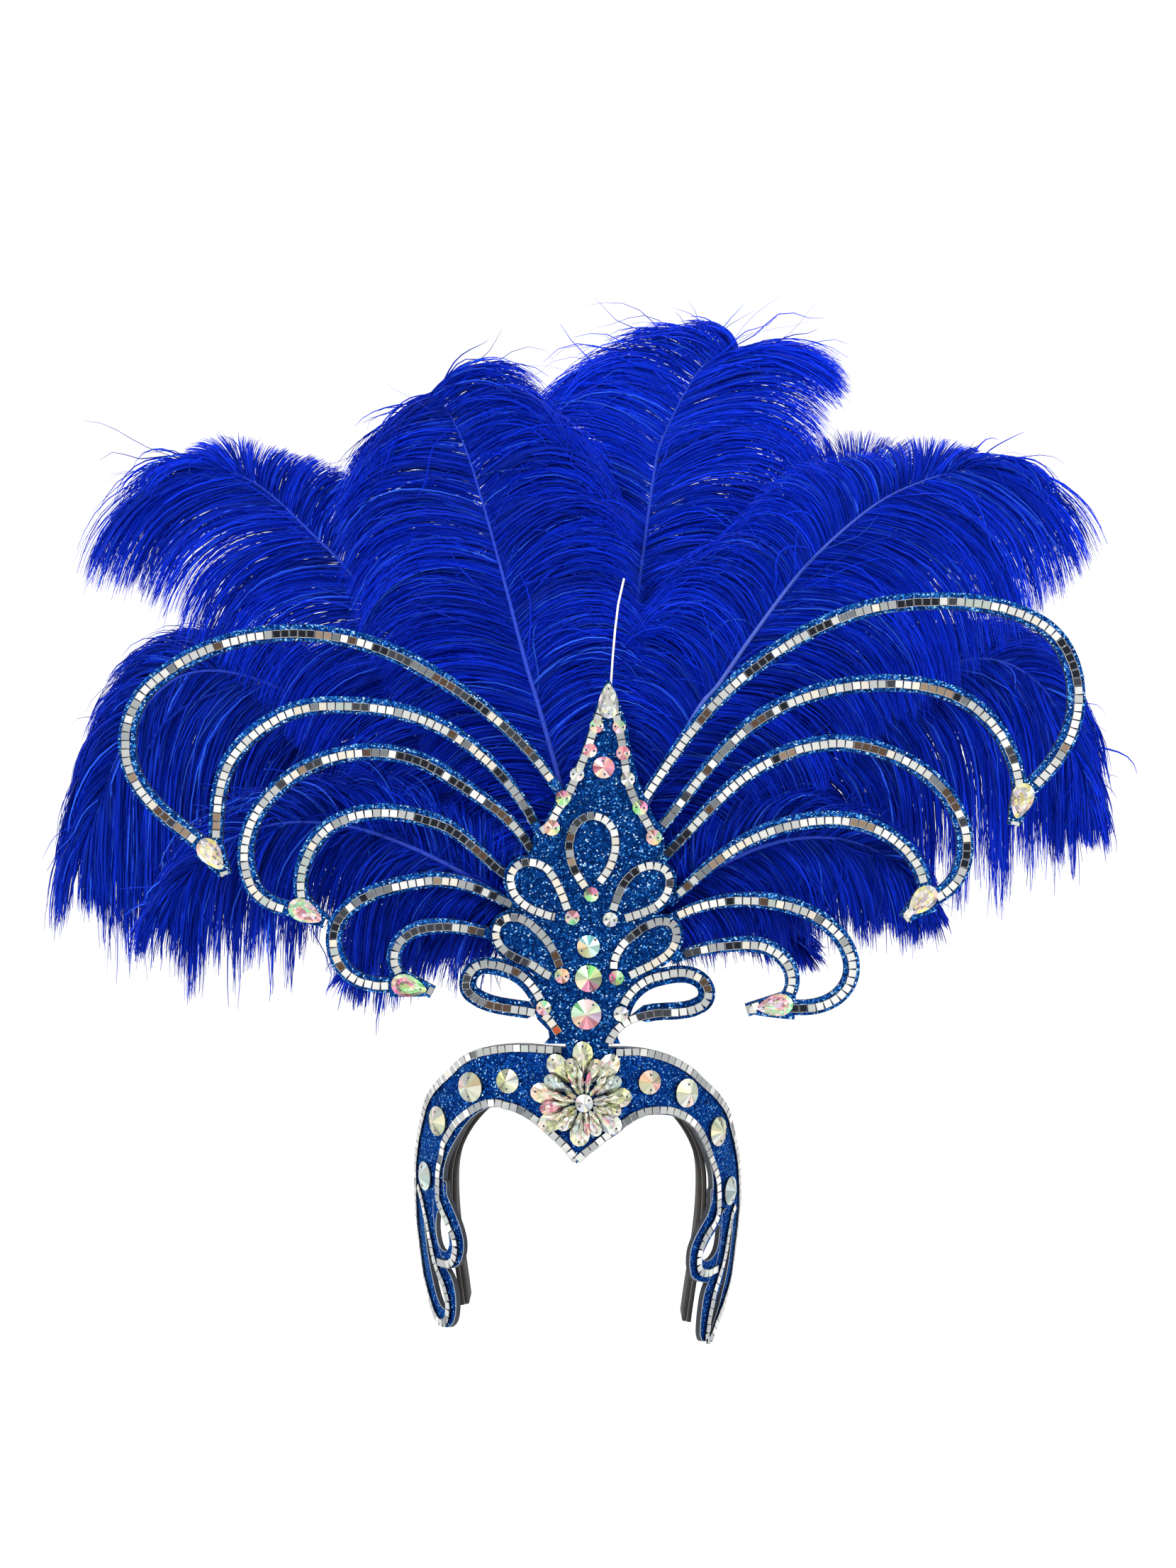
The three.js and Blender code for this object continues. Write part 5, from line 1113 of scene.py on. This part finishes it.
for lo, hi, inset, mat in ((0.15, 2.9, 1.6, 0), (3.0, 5.85, 0.2, 0), (2.8, 3.1, 1.1, 1)):
    sec = rounded(HOOP_BACK - HOOP_FRONT - 2 * inset, hi - lo, min(1.2, (hi - lo) / 2.2))
    k = len(sec)
    verts, faces = [], []
    for i, p in enumerate(inner):
        for a, d in sec:
            t = lo + a
            verts.append((p[0] + t * nrm[i][0], HOOP_FRONT + inset + d, p[1] + t * nrm[i][1]))
    for i in range(len(inner) - 1):
        for c in range(k):
            d = (c + 1) % k
            faces.append((i * k + c, (i + 1) * k + c, (i + 1) * k + d, i * k + d))
    faces.append(tuple(range(k)))
    faces.append(tuple((len(inner) - 1) * k + c for c in reversed(range(k))))
    b.add(verts, faces, mat)
ob = new_piece("hoop_foam", b.v, b.f, [DARK_FOAM, PALE_EDGE], b.m, smooth=True)
fix_normals(ob)
finish_piece(ob, ["head_hoop"])

# the carrier and the bare quill keep their solids and get their finish
for node, mat in (("plume_post", DARK_FOAM), ("bare_quill", QUILL)):
    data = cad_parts[node].data
    data.materials.clear()
    data.materials.append(mat)


# ==================================================================== plumes
# All shafts and barb lengths are as seen from the front at the arms' plane;
# a plume that lies further back is larger by the same share.
EYE = (7.0, -1572.0, 188.0)
NEAR = 1572.0 - 71.5


def layer_depth(layer, x, z):
    d = np.hypot(x - HUB_X, z - HUB_Z)
    s = np.clip((d - HUB_R) / 70, 0, 1)
    return FIRST_LAYER + layer * (LAYER_ROOT + (LAYER_STEP - LAYER_ROOT) * s * s * (3 - 2 * s)) + LEAN * (d / 400) ** 2


def lifted(x, z, layer, off):
    """Point at its layer's depth that shows at x, z of the arms' plane."""
    y = layer_depth(layer, x, z) + off
    k = (y + 1572.0) / NEAR
    return EYE[0] + (x - EYE[0]) * k, y, EYE[2] + (z - EYE[2]) * k


def catmull(points, n):
    p = np.array(points, dtype=float)
    seg = np.hypot(*(p[1:] - p[:-1]).T)
    knots = np.concatenate([[0], np.cumsum(seg)])
    t = np.linspace(0, knots[-1], n)
    ext = np.vstack([2 * p[0] - p[1], p, 2 * p[-1] - p[-2]])
    out = np.empty((n, 2))
    for i, q in enumerate(t):
        k = min(len(p) - 2, int(np.searchsorted(knots, q, side="right") - 1))
        u = (q - knots[k]) / seg[k]
        a, b_, c, d = ext[k], ext[k + 1], ext[k + 2], ext[k + 3]
        out[i] = 0.5 * (2 * b_ + (c - a) * u + (2 * a - 5 * b_ + 4 * c - d) * u * u + (3 * b_ - a - 3 * c + d) * u ** 3)
    return out


# A plume: shaft points, layer, share of the shaft before the first barb, and
# for each side of the shaft rows of (share of the vane, length, angle to the
# shaft, outward curl). Left and right are as seen along the shaft.
# A plume's tone scales its blue: painted light, brighter on the top and right plumes where light falls, duller on the
# low and under plumes in the fan's shade.
PLUMES = [
    dict(name="plume_top_left", layer=0, bare=0.05, count=5400, seed=1, hang=1.5, stray=0.07,
         shaft=[(5, 121), (-6, 172), (-22.8, 233), (-32.1, 264.3), (-44.9, 313.3), (-57.7, 360.1), (-69.6, 397.6), (-81.1, 421), (-91.7, 431.6)],
         left=[(0, 46, 80, 0), (0.12, 62, 60, 2), (0.3, 88, 52, 6), (0.5, 108, 50, 6), (0.68, 112, 49, 8), (0.82, 100, 52, 12), (0.93, 78, 60, 20), (1, 52, 64, 34)],
         right=[(0, 46, 80, 0), (0.12, 60, 60, 14), (0.3, 82, 54, 26), (0.5, 94, 54, 36), (0.68, 104, 57, 36), (0.82, 104, 63, 36), (0.93, 88, 78, 38), (1, 60, 96, 40)]),
    dict(name="plume_top_right", tone=(1.9, 1.6, 1.36), layer=1, bare=0.12, count=5200, seed=2, hang=1.5, stray=0.08,
         shaft=[(12, 121), (22, 180), (32, 258), (41, 330), (48.3, 382.6), (52.2, 399.8), (63.3, 424.1), (76.5, 445.7), (90.2, 455.4), (100.8, 458.1)],
         left=[(0, 50, 70, 6), (0.15, 74, 56, 16), (0.35, 98, 52, 26), (0.55, 116, 54, 26), (0.72, 124, 66, 22), (0.86, 108, 84, 24), (0.95, 46, 100, 50), (1, 30, 90, 70)],
         right=[(0, 50, 70, 0), (0.15, 70, 56, 6), (0.35, 96, 52, 10), (0.55, 112, 50, 10), (0.72, 112, 46, 4), (0.86, 104, 34, -4), (0.95, 92, 20, -10), (1, 76, 8, -12)]),
    dict(name="plume_left_high", tone=(1.3, 1.15, 1.08), layer=1, bare=0.05, count=5000, seed=3, hang=1.7, stray=0.07,
         shaft=[(-6, 117), (-50, 186), (-98, 258), (-140, 318), (-166.2, 345.1), (-179, 357.9), (-195.3, 372), (-209.5, 380), (-223.6, 384.8), (-237.7, 385.3)],
         left=[(0, 50, 80, 0), (0.12, 62, 58, 4), (0.3, 86, 52, 6), (0.55, 106, 48, 6), (0.75, 112, 44, 2), (0.9, 114, 34, -2), (1, 106, 20, -8)],
         right=[(0, 50, 80, 0), (0.12, 56, 58, 6), (0.3, 76, 52, 14), (0.55, 78, 54, 30), (0.75, 50, 58, 50), (0.88, 26, 50, 40), (0.95, 36, 26, -50), (1, 62, 14, -54)]),
    dict(name="plume_right_high", tone=(1.5, 1.35, 1.18), quill=0.55, layer=0, bare=0.04, count=5600, seed=4, hang=1.8, stray=0.06,
         shaft=[(20, 119), (46, 180), (75.2, 233.9), (87.5, 248.9), (111.8, 283.8), (138.7, 319.1), (165.6, 346), (192.6, 366.3), (219.9, 378.2), (241.5, 383.9), (260.1, 385.3)],
         left=[(0, 46, 80, 0), (0.12, 60, 60, 20), (0.3, 80, 54, 42), (0.5, 86, 54, 54), (0.68, 60, 58, 64), (0.82, 32, 56, 60), (0.93, 26, 34, -40), (1, 60, 12, -50)],
         right=[(0, 46, 80, 0), (0.12, 62, 58, 4), (0.3, 96, 52, 6), (0.5, 122, 48, 6), (0.68, 134, 44, 4), (0.82, 128, 38, 2), (0.93, 106, 26, 0), (1, 88, 14, -4)]),
    dict(name="plume_left_wide", tone=(1.0, 1.0, 0.84), fray=0.14, layer=2, bare=0.06, count=5600, seed=5, hang=3.6, stray=0.05,
         shaft=[(-12, 106), (-90, 184), (-160, 234), (-208, 256), (-244, 256), (-270, 234), (-288, 200), (-302, 162)],
         left=[(0, 50, 70, 0), (0.15, 78, 54, 0), (0.35, 114, 48, 2), (0.55, 146, 44, 0), (0.7, 150, 36, 0), (0.85, 114, 24, 0), (1, 52, 8, 0)],
         right=[(0, 46, 70, 0), (0.15, 50, 52, 0), (0.35, 52, 50, 0), (0.55, 52, 44, 4), (0.7, 62, 38, 10), (0.85, 84, 36, 8), (1, 58, 16, 6)]),
    dict(name="plume_right_wide", tone=(1.1, 1.1, 1.0), fray=0.14, layer=1, bare=0.06, count=6400, seed=26, hang=3.6, stray=0.05,
         shaft=[(30, 104), (96, 176), (160, 228), (212, 256), (256, 266), (288, 250), (306, 218), (318, 184)],
         left=[(0, 46, 70, 0), (0.15, 48, 52, 0), (0.35, 50, 50, 0), (0.55, 50, 44, 0), (0.7, 54, 36, 6), (0.85, 60, 28, 2), (1, 36, 12, 0)],
         right=[(0, 50, 70, 0), (0.15, 84, 54, 0), (0.35, 122, 48, 2), (0.55, 142, 44, 0), (0.7, 128, 34, 0), (0.85, 80, 22, 0), (1, 34, 8, 0)]),
    dict(name="plume_left_low", tone=(0.95, 0.95, 0.85), fray=0.30, layer=0, bare=0.05, count=4300, seed=7, hang=3.6, stray=0.10,
         shaft=[(-17, 96), (-70, 132), (-128, 158), (-180, 164), (-222, 150), (-250, 122)],
         left=[(0, 44, 74, 0), (0.15, 60, 54, 0), (0.35, 78, 50, 2), (0.6, 88, 46, 2), (0.8, 82, 32, 0), (0.9, 68, 22, 0), (1, 46, 10, 0)],
         right=[(0, 40, 74, 0), (0.15, 48, 54, 0), (0.35, 54, 50, 0), (0.6, 54, 44, 0), (0.8, 48, 30, 8), (0.9, 46, 22, 10), (1, 44, 12, 0)]),
    dict(name="plume_right_low", tone=(0.95, 0.95, 0.85), fray=0.14, layer=0, bare=0.05, count=3900, seed=8, hang=3.6, stray=0.10,
         shaft=[(32, 96), (76, 130), (122, 151), (162, 154), (194, 142), (214, 120)],
         left=[(0, 40, 74, 0), (0.15, 46, 54, 0), (0.35, 52, 50, 0), (0.6, 50, 44, 0), (0.8, 38, 30, 4), (0.9, 32, 22, 2), (1, 26, 12, 0)],
         right=[(0, 40, 74, 0), (0.15, 52, 54, 0), (0.35, 62, 50, 2), (0.6, 66, 46, 2), (0.8, 56, 32, 0), (0.9, 44, 22, 0), (1, 28, 10, 0)]),
    dict(name="plume_left_under", tone=(0.95, 0.95, 0.85), fray=0.30, layer=1, bare=0.12, count=1900, seed=9, hang=3.2, stray=0.14,
         shaft=[(-18, 92), (-52, 102), (-88, 104), (-120, 94), (-140, 74)],
         left=[(0, 26, 54, 0), (0.3, 38, 50, 0), (0.6, 44, 44, 0), (0.85, 30, 28, 0), (1, 18, 10, 0)],
         right=[(0, 30, 50, 0), (0.3, 38, 50, 0), (0.6, 38, 44, 0), (0.85, 26, 28, 0), (1, 18, 10, 0)]),
    dict(name="plume_right_under", tone=(0.95, 0.95, 0.85), fray=0.14, layer=2, bare=0.12, count=1700, seed=10, hang=3.2, stray=0.14,
         shaft=[(34, 90), (64, 102), (94, 107), (122, 101), (140, 87)],
         left=[(0, 30, 50, 0), (0.3, 36, 50, 0), (0.6, 34, 44, 0), (0.85, 24, 28, 0), (1, 18, 10, 0)],
         right=[(0, 22, 54, 0), (0.3, 28, 50, 0), (0.6, 30, 44, 0), (0.85, 22, 28, 0), (1, 18, 10, 0)]),
    dict(name="plume_back_right", layer=2, bare=0.06, count=4600, seed=11, hang=1.7, stray=0.12,
         shaft=[(17, 120), (48, 190), (84, 258), (118, 312), (148, 346), (176, 366), (200, 374)],
         left=[(0, 50, 70, 10), (0.2, 84, 50, 18), (0.45, 96, 46, 26), (0.7, 80, 46, 30), (0.86, 50, 48, 34), (1, 36, 24, -40)],
         right=[(0, 40, 50, 4), (0.25, 88, 50, 6), (0.5, 100, 48, 6), (0.75, 96, 44, 4), (0.9, 78, 32, 0), (1, 56, 16, 0)]),
    dict(name="plume_back_middle", layer=3, bare=0.04, count=4500, seed=12, hang=1.7, stray=0.20,
         shaft=[(8, 122), (7, 180), (4, 240), (0, 300), (-6, 346), (-14, 372)],
         left=[(0, 70, 80, 0), (0.15, 88, 60, 16), (0.35, 100, 52, 30), (0.6, 98, 54, 38), (0.82, 80, 60, 40), (1, 54, 66, 40)],
         right=[(0, 70, 80, 0), (0.15, 88, 60, 16), (0.35, 100, 52, 30), (0.6, 98, 54, 38), (0.82, 80, 60, 40), (1, 54, 66, 40)]),
]
SEGMENTS = 8
ROYAL = np.array([0.0016, 0.0165, 0.46])


def side_table(spec, key, share, side):
    """Column of the side rows at each barb's place on the vane."""
    rows = {1.0: np.array(spec["left"], dtype=float), -1.0: np.array(spec["right"], dtype=float)}
    out = np.empty_like(share)
    for sgn, table in rows.items():
        hit = side == sgn
        out[hit] = np.interp(share[hit], table[:, 0], table[:, key])
    return out


def barbs(spec):
    """Curves of every barb of one plume: positions (n, points, 2), depth
    offsets, widths and colours."""
    rng = np.random.default_rng(spec["seed"])
    n = spec["count"]
    path = catmull(spec["shaft"], 400)
    tan = np.gradient(path, axis=0)
    tan /= np.hypot(*tan.T)[:, None]
    heading = np.unwrap(np.arctan2(tan[:, 1], tan[:, 0]))
    share = np.sort(rng.beta(1.12, 1.0, n))
    u = spec["bare"] + (1 - spec["bare"]) * share
    side = np.where(rng.random(n) < 0.5, 1.0, -1.0)
    at = np.clip(u * 399, 0, 399)
    base = np.stack([np.interp(at, np.arange(400), path[:, k]) for k in (0, 1)], axis=1)
    head = np.interp(at, np.arange(400), heading)
    length = side_table(spec, 1, share, side)
    length = length * (1 + rng.normal(0, 0.05, n)) * np.where(rng.random(n) < 0.12, rng.uniform(0.5, 0.9, n), 1.0)
    if spec.get("fray"):
        # ragged fringe: groups of barbs of unlike length, and a few long strands
        knots = rng.normal(0, 1, (2, 130))
        lump = np.where(side > 0, np.interp(share * 129, np.arange(130), knots[0]), np.interp(share * 129, np.arange(130), knots[1]))
        length = length * np.clip(1 + spec["fray"] * lump, 0.55, 1.35)
        length = np.where(rng.random(n) < 0.012, length * rng.uniform(1.1, 1.4, n), length)
    # slow changes along the vane open and close it in places
    wave = sum(np.sin(share * f + rng.uniform(0, 6.3) + side * rng.uniform(0, 3)) for f in (9.0, 17.0, 31.0)) / 3
    tip = np.clip((share - 0.86) / 0.14, 0, 1)
    root = np.clip((0.22 - share) / 0.22, 0, 1)
    angle = np.radians(side_table(spec, 2, share, side)) * (1 + 0.09 * wave) + rng.normal(0, 1, n) * (0.03 + 0.09 * tip + 0.10 * root)
    stray = rng.random(n) < spec["stray"] + 0.25 * root
    angle = angle + np.where(stray, rng.normal(0, 0.26, n), 0)
    curl = np.radians(side_table(spec, 3, share, side)) * (1 + 0.25 * wave) + rng.normal(0, 0.10, n) + np.where(stray, rng.normal(0, 0.5, n), 0)
    hang = spec["hang"] * (1 + 0.14 * wave + rng.normal(0, 0.10, n)) * np.where(stray, rng.uniform(0.5, 1.5, n), 1)
    length = np.where(stray, length * rng.uniform(0.55, 0.95, n), length)
    phi = head + side * angle
    pos = np.empty((n, SEGMENTS + 1, 2))
    pos[:, 0] = base
    sub = 3
    p = base.copy()
    wob = rng.uniform(0, 6.3, n)
    amp = np.where(stray, 0.5, 0.10) * rng.uniform(0.4, 1.4, n)
    freq = rng.uniform(5, 11, n)
    for k in range(SEGMENTS * sub):
        t = (k + 0.5) / (SEGMENTS * sub)
        ds = length / (SEGMENTS * sub)
        phi = phi + side * curl / (SEGMENTS * sub)
        phi = phi - hang * (length / 100.0) * np.cos(phi) * (0.25 + 1.5 * t) / (SEGMENTS * sub)
        way = phi + amp * np.sin(wob + freq * t) * t
        p = p + np.stack([np.cos(way) * ds, np.sin(way) * ds], axis=1)
        if (k + 1) % sub == 0:
            pos[:, (k + 1) // sub] = p
    # barbs draw together into locks towards their ends
    order = np.lexsort((u, side))
    sizes = []
    for group in (int((side < 0).sum()), int((side > 0).sum())):
        left_over = group
        while left_over > 0:
            s = int(min(left_over, rng.integers(4, 16)))
            sizes.append(s)
            left_over -= s
    lock = np.empty(n, dtype=int)
    lock[order] = np.repeat(np.arange(len(sizes)), sizes)
    sums = np.zeros((len(sizes), SEGMENTS + 1, 2))
    np.add.at(sums, lock, pos)
    count = np.bincount(lock, minlength=len(sizes))[:, None, None]
    mean = sums / count
    t = np.linspace(0, 1, SEGMENTS + 1)[None, :, None]
    pull = rng.uniform(0.25, 0.85, len(sizes))[lock][:, None, None] * t ** 1.6
    pull = pull * np.where(stray, 0.1, 1.0)[:, None, None] * (0.65 if spec.get("fray") else 1.0)
    pos = pos + (mean[lock] - pos) * pull
    # fluff: each barb keeps a little way of its own
    wig = rng.normal(0, 1, (n, 2, 1)) * 0.9
    tt = t[..., 0]
    pos[:, :, 0] += wig[:, 0] * tt * (1 - 0.5 * tt)
    pos[:, :, 1] += wig[:, 1] * tt * (1 - 0.5 * tt)
    lock_depth = rng.normal(0, 2.6, len(sizes))[lock]
    own_depth = rng.normal(0, 1.7, n)
    bow = rng.normal(-1.5, 2.2, n)
    over = -9.0 * tip
    depth = (lock_depth + own_depth + over)[:, None] * (0.15 + 0.85 * tt) + bow[:, None] * np.sin(math.pi * tt) + rng.normal(0, 0.3, (n, SEGMENTS + 1)) * tt
    lock_tone = rng.normal(0, 0.16, len(sizes))[lock]
    tone = np.clip(1.0 + lock_tone + rng.normal(0, 0.26, n), 0.4, 2.0)
    bright = rng.random(n)
    # painted light: the plume's tone, brighter where light falls on the fan, duller in its shade
    plume_painted_light = np.array(spec.get("tone", (1.0, 1.0, 1.0)))
    colour = ROYAL[None, :] * plume_painted_light[None, :] * tone[:, None]
    # painted highlight: a few barbs take a lighter cyan-blue, like sheen on the strands
    painted_highlight = (bright > 0.93)[:, None]
    colour = np.where(painted_highlight, np.array([0.020, 0.090, 0.72])[None, :] * tone[:, None], colour)
    width = rng.uniform(0.65, 1.3, n) * (1.2 if spec.get("fray") else 1.0)
    return pos, depth, width, colour, rng, path


def ribbon_mesh(name, spec):
    pos, depth, width, colour, rng, path = barbs(spec)
    n, k = pos.shape[:2]
    x, y, z = lifted(pos[..., 0], pos[..., 1], spec["layer"], depth)
    line = np.stack([x, y, z], axis=-1)
    tan = np.gradient(line, axis=1)
    tan /= np.linalg.norm(tan, axis=-1, keepdims=True) + 1e-9
    front = np.array([0.0, -1.0, 0.0])
    flat = np.cross(tan, front)
    flat /= np.linalg.norm(flat, axis=-1, keepdims=True) + 1e-9
    up = np.cross(flat, tan)
    turn = rng.uniform(-1.15, 1.15, (n, 1)) + rng.normal(0, 0.35, (n, 1)) * np.linspace(-1, 1, k)[None, :]
    across = flat * np.cos(turn)[..., None] + up * np.sin(turn)[..., None]
    t = np.linspace(0, 1, k)[None, :]
    taper = np.minimum(1.0, 0.55 + 2.2 * t) * (1 - 0.80 * t ** 2.4)
    half = (width[:, None] * taper / 2)[..., None]
    verts = np.stack([line - across * half, line + across * half], axis=2).reshape(-1, 3)
    ids = (np.arange(n)[:, None] * k + np.arange(k - 1)[None, :]).reshape(-1)
    quads = np.stack([2 * ids, 2 * ids + 1, 2 * ids + 3, 2 * ids + 2], axis=1)
    cols = np.repeat(colour[:, None, :], 2 * k, axis=1).reshape(-1, 3)
    # painted light: paler at the thin ends, as if light came through them
    ramp = np.repeat((0.82 + 0.42 * np.linspace(0, 1, k) ** 1.4)[None, :, None], n, axis=0)
    ramp = np.repeat(ramp, 2, axis=2).reshape(-1)
    cols = cols * ramp[:, None]

    # shaft
    steps = 60
    idx = np.linspace(0, 399, steps).astype(int)
    c = path[idx]
    sx, sy, sz = lifted(c[:, 0], c[:, 1], spec["layer"], -0.6)
    spine = np.stack([sx, sy, sz], axis=-1)
    st = np.gradient(spine, axis=0)
    st /= np.linalg.norm(st, axis=-1, keepdims=True)
    sflat = np.cross(st, front)
    sflat /= np.linalg.norm(sflat, axis=-1, keepdims=True)
    sup = np.cross(sflat, st)
    around = 7
    share = np.linspace(0, 1, steps)
    radius = (1.75 * (1 - share) ** 0.8 + 0.35)[:, None, None]
    a = np.linspace(0, 2 * math.pi, around, endpoint=False)
    ring = sflat[:, None, :] * np.cos(a)[None, :, None] + sup[:, None, :] * np.sin(a)[None, :, None]
    sv = (spine[:, None, :] + ring * radius).reshape(-1, 3)
    base = len(verts)
    sf = []
    for i in range(steps - 1):
        for j in range(around):
            m = (j + 1) % around
            sf.append((base + i * around + j, base + i * around + m, base + (i + 1) * around + m, base + (i + 1) * around + j))
    sf = np.array(sf)
    scol = np.repeat(np.array([[0.012, 0.042, 0.50]]), len(sv), axis=0)
    # the shaft pales towards its root: partly the quill's own paler colour, partly a painted highlight; quill sets how
    # much
    pale = spec.get("quill", 0.12) * np.clip(1.25 - 1.1 * np.repeat(share, around), 0, 1)[:, None]
    scol = scol * (1 - pale) + np.array([0.22, 0.30, 0.74]) * pale
    all_v = np.concatenate([verts, sv]) * MM
    all_f = np.concatenate([quads, sf])
    all_c = np.concatenate([cols, scol])
    me = bpy.data.meshes.new(name)
    me.vertices.add(len(all_v))
    me.vertices.foreach_set("co", all_v.astype(np.float32).ravel())
    me.loops.add(len(all_f) * 4)
    me.loops.foreach_set("vertex_index", all_f.astype(np.int32).ravel())
    me.polygons.add(len(all_f))
    me.polygons.foreach_set("loop_start", np.arange(0, len(all_f) * 4, 4, dtype=np.int32))
    me.polygons.foreach_set("use_smooth", np.ones(len(all_f), dtype=bool))
    me.update(calc_edges=True)
    att = me.color_attributes.new("tint", "FLOAT_COLOR", "POINT")
    rgba = np.ones((len(all_v), 4), dtype=np.float32)
    rgba[:, :3] = np.clip(all_c, 0, 1)
    att.data.foreach_set("color", rgba.ravel())
    me.materials.append(PLUME)
    ob = bpy.data.objects.new(name, me)
    bpy.context.scene.collection.objects.link(ob)
    return ob


for spec in PLUMES:
    ob = ribbon_mesh("vane_" + spec["name"][6:], spec)
    finish_piece(ob, [spec["name"]])

# ===================================================================== stage
me = bpy.data.meshes.new("floor")
S = 30.0
me.from_pydata([(-S, -S, -0.42), (S, -S, -0.42), (S, S, -0.42), (-S, S, -0.42)], [], [(0, 1, 2, 3)])
floor = bpy.data.objects.new("floor", me)
_m = Nodes("floor_pale")
_n = _m.noise(1.5, 2.0)
_r = _m.ramp(_n, "Fac", [(0.3, (0.93, 0.93, 0.93)), (0.7, (0.95, 0.95, 0.95))])
_m.tree.links.new(_r.outputs["Color"], _m.bsdf.inputs["Base Color"])
_m.put(Roughness=0.9, Specular_IOR_Level=0.1)
me.materials.append(_m.mat)
bpy.context.scene.collection.objects.link(floor)

world = bpy.data.worlds.new("studio")
bpy.context.scene.world = world
world.use_nodes = True
world.node_tree.nodes["Background"].inputs["Color"].default_value = (1.0, 1.0, 1.0, 1.0)
world.node_tree.nodes["Background"].inputs["Strength"].default_value = 1.12


def area(name, loc, target, size, power, colour=(1, 1, 1)):
    data = bpy.data.lights.new(name, "AREA")
    data.shape = "RECTANGLE"
    data.size, data.size_y = size
    data.energy = power
    data.color = colour
    ob = bpy.data.objects.new(name, data)
    ob.location = loc
    ob.rotation_euler = (Vector(target) - Vector(loc)).to_track_quat("-Z", "Y").to_euler()
    bpy.context.scene.collection.objects.link(ob)
    return ob


area("key", (-0.9, -1.7, 1.5), (0, 0, 0.2), (0.8, 0.6), 22)
area("fill", (1.6, -1.3, 0.6), (0, 0, 0.15), (1.2, 1.2), 4)
area("top", (0.1, 0.5, 2.0), (0, 0, 0.3), (1.2, 0.8), 7)

bpy.context.scene.view_settings.view_transform = "Standard"
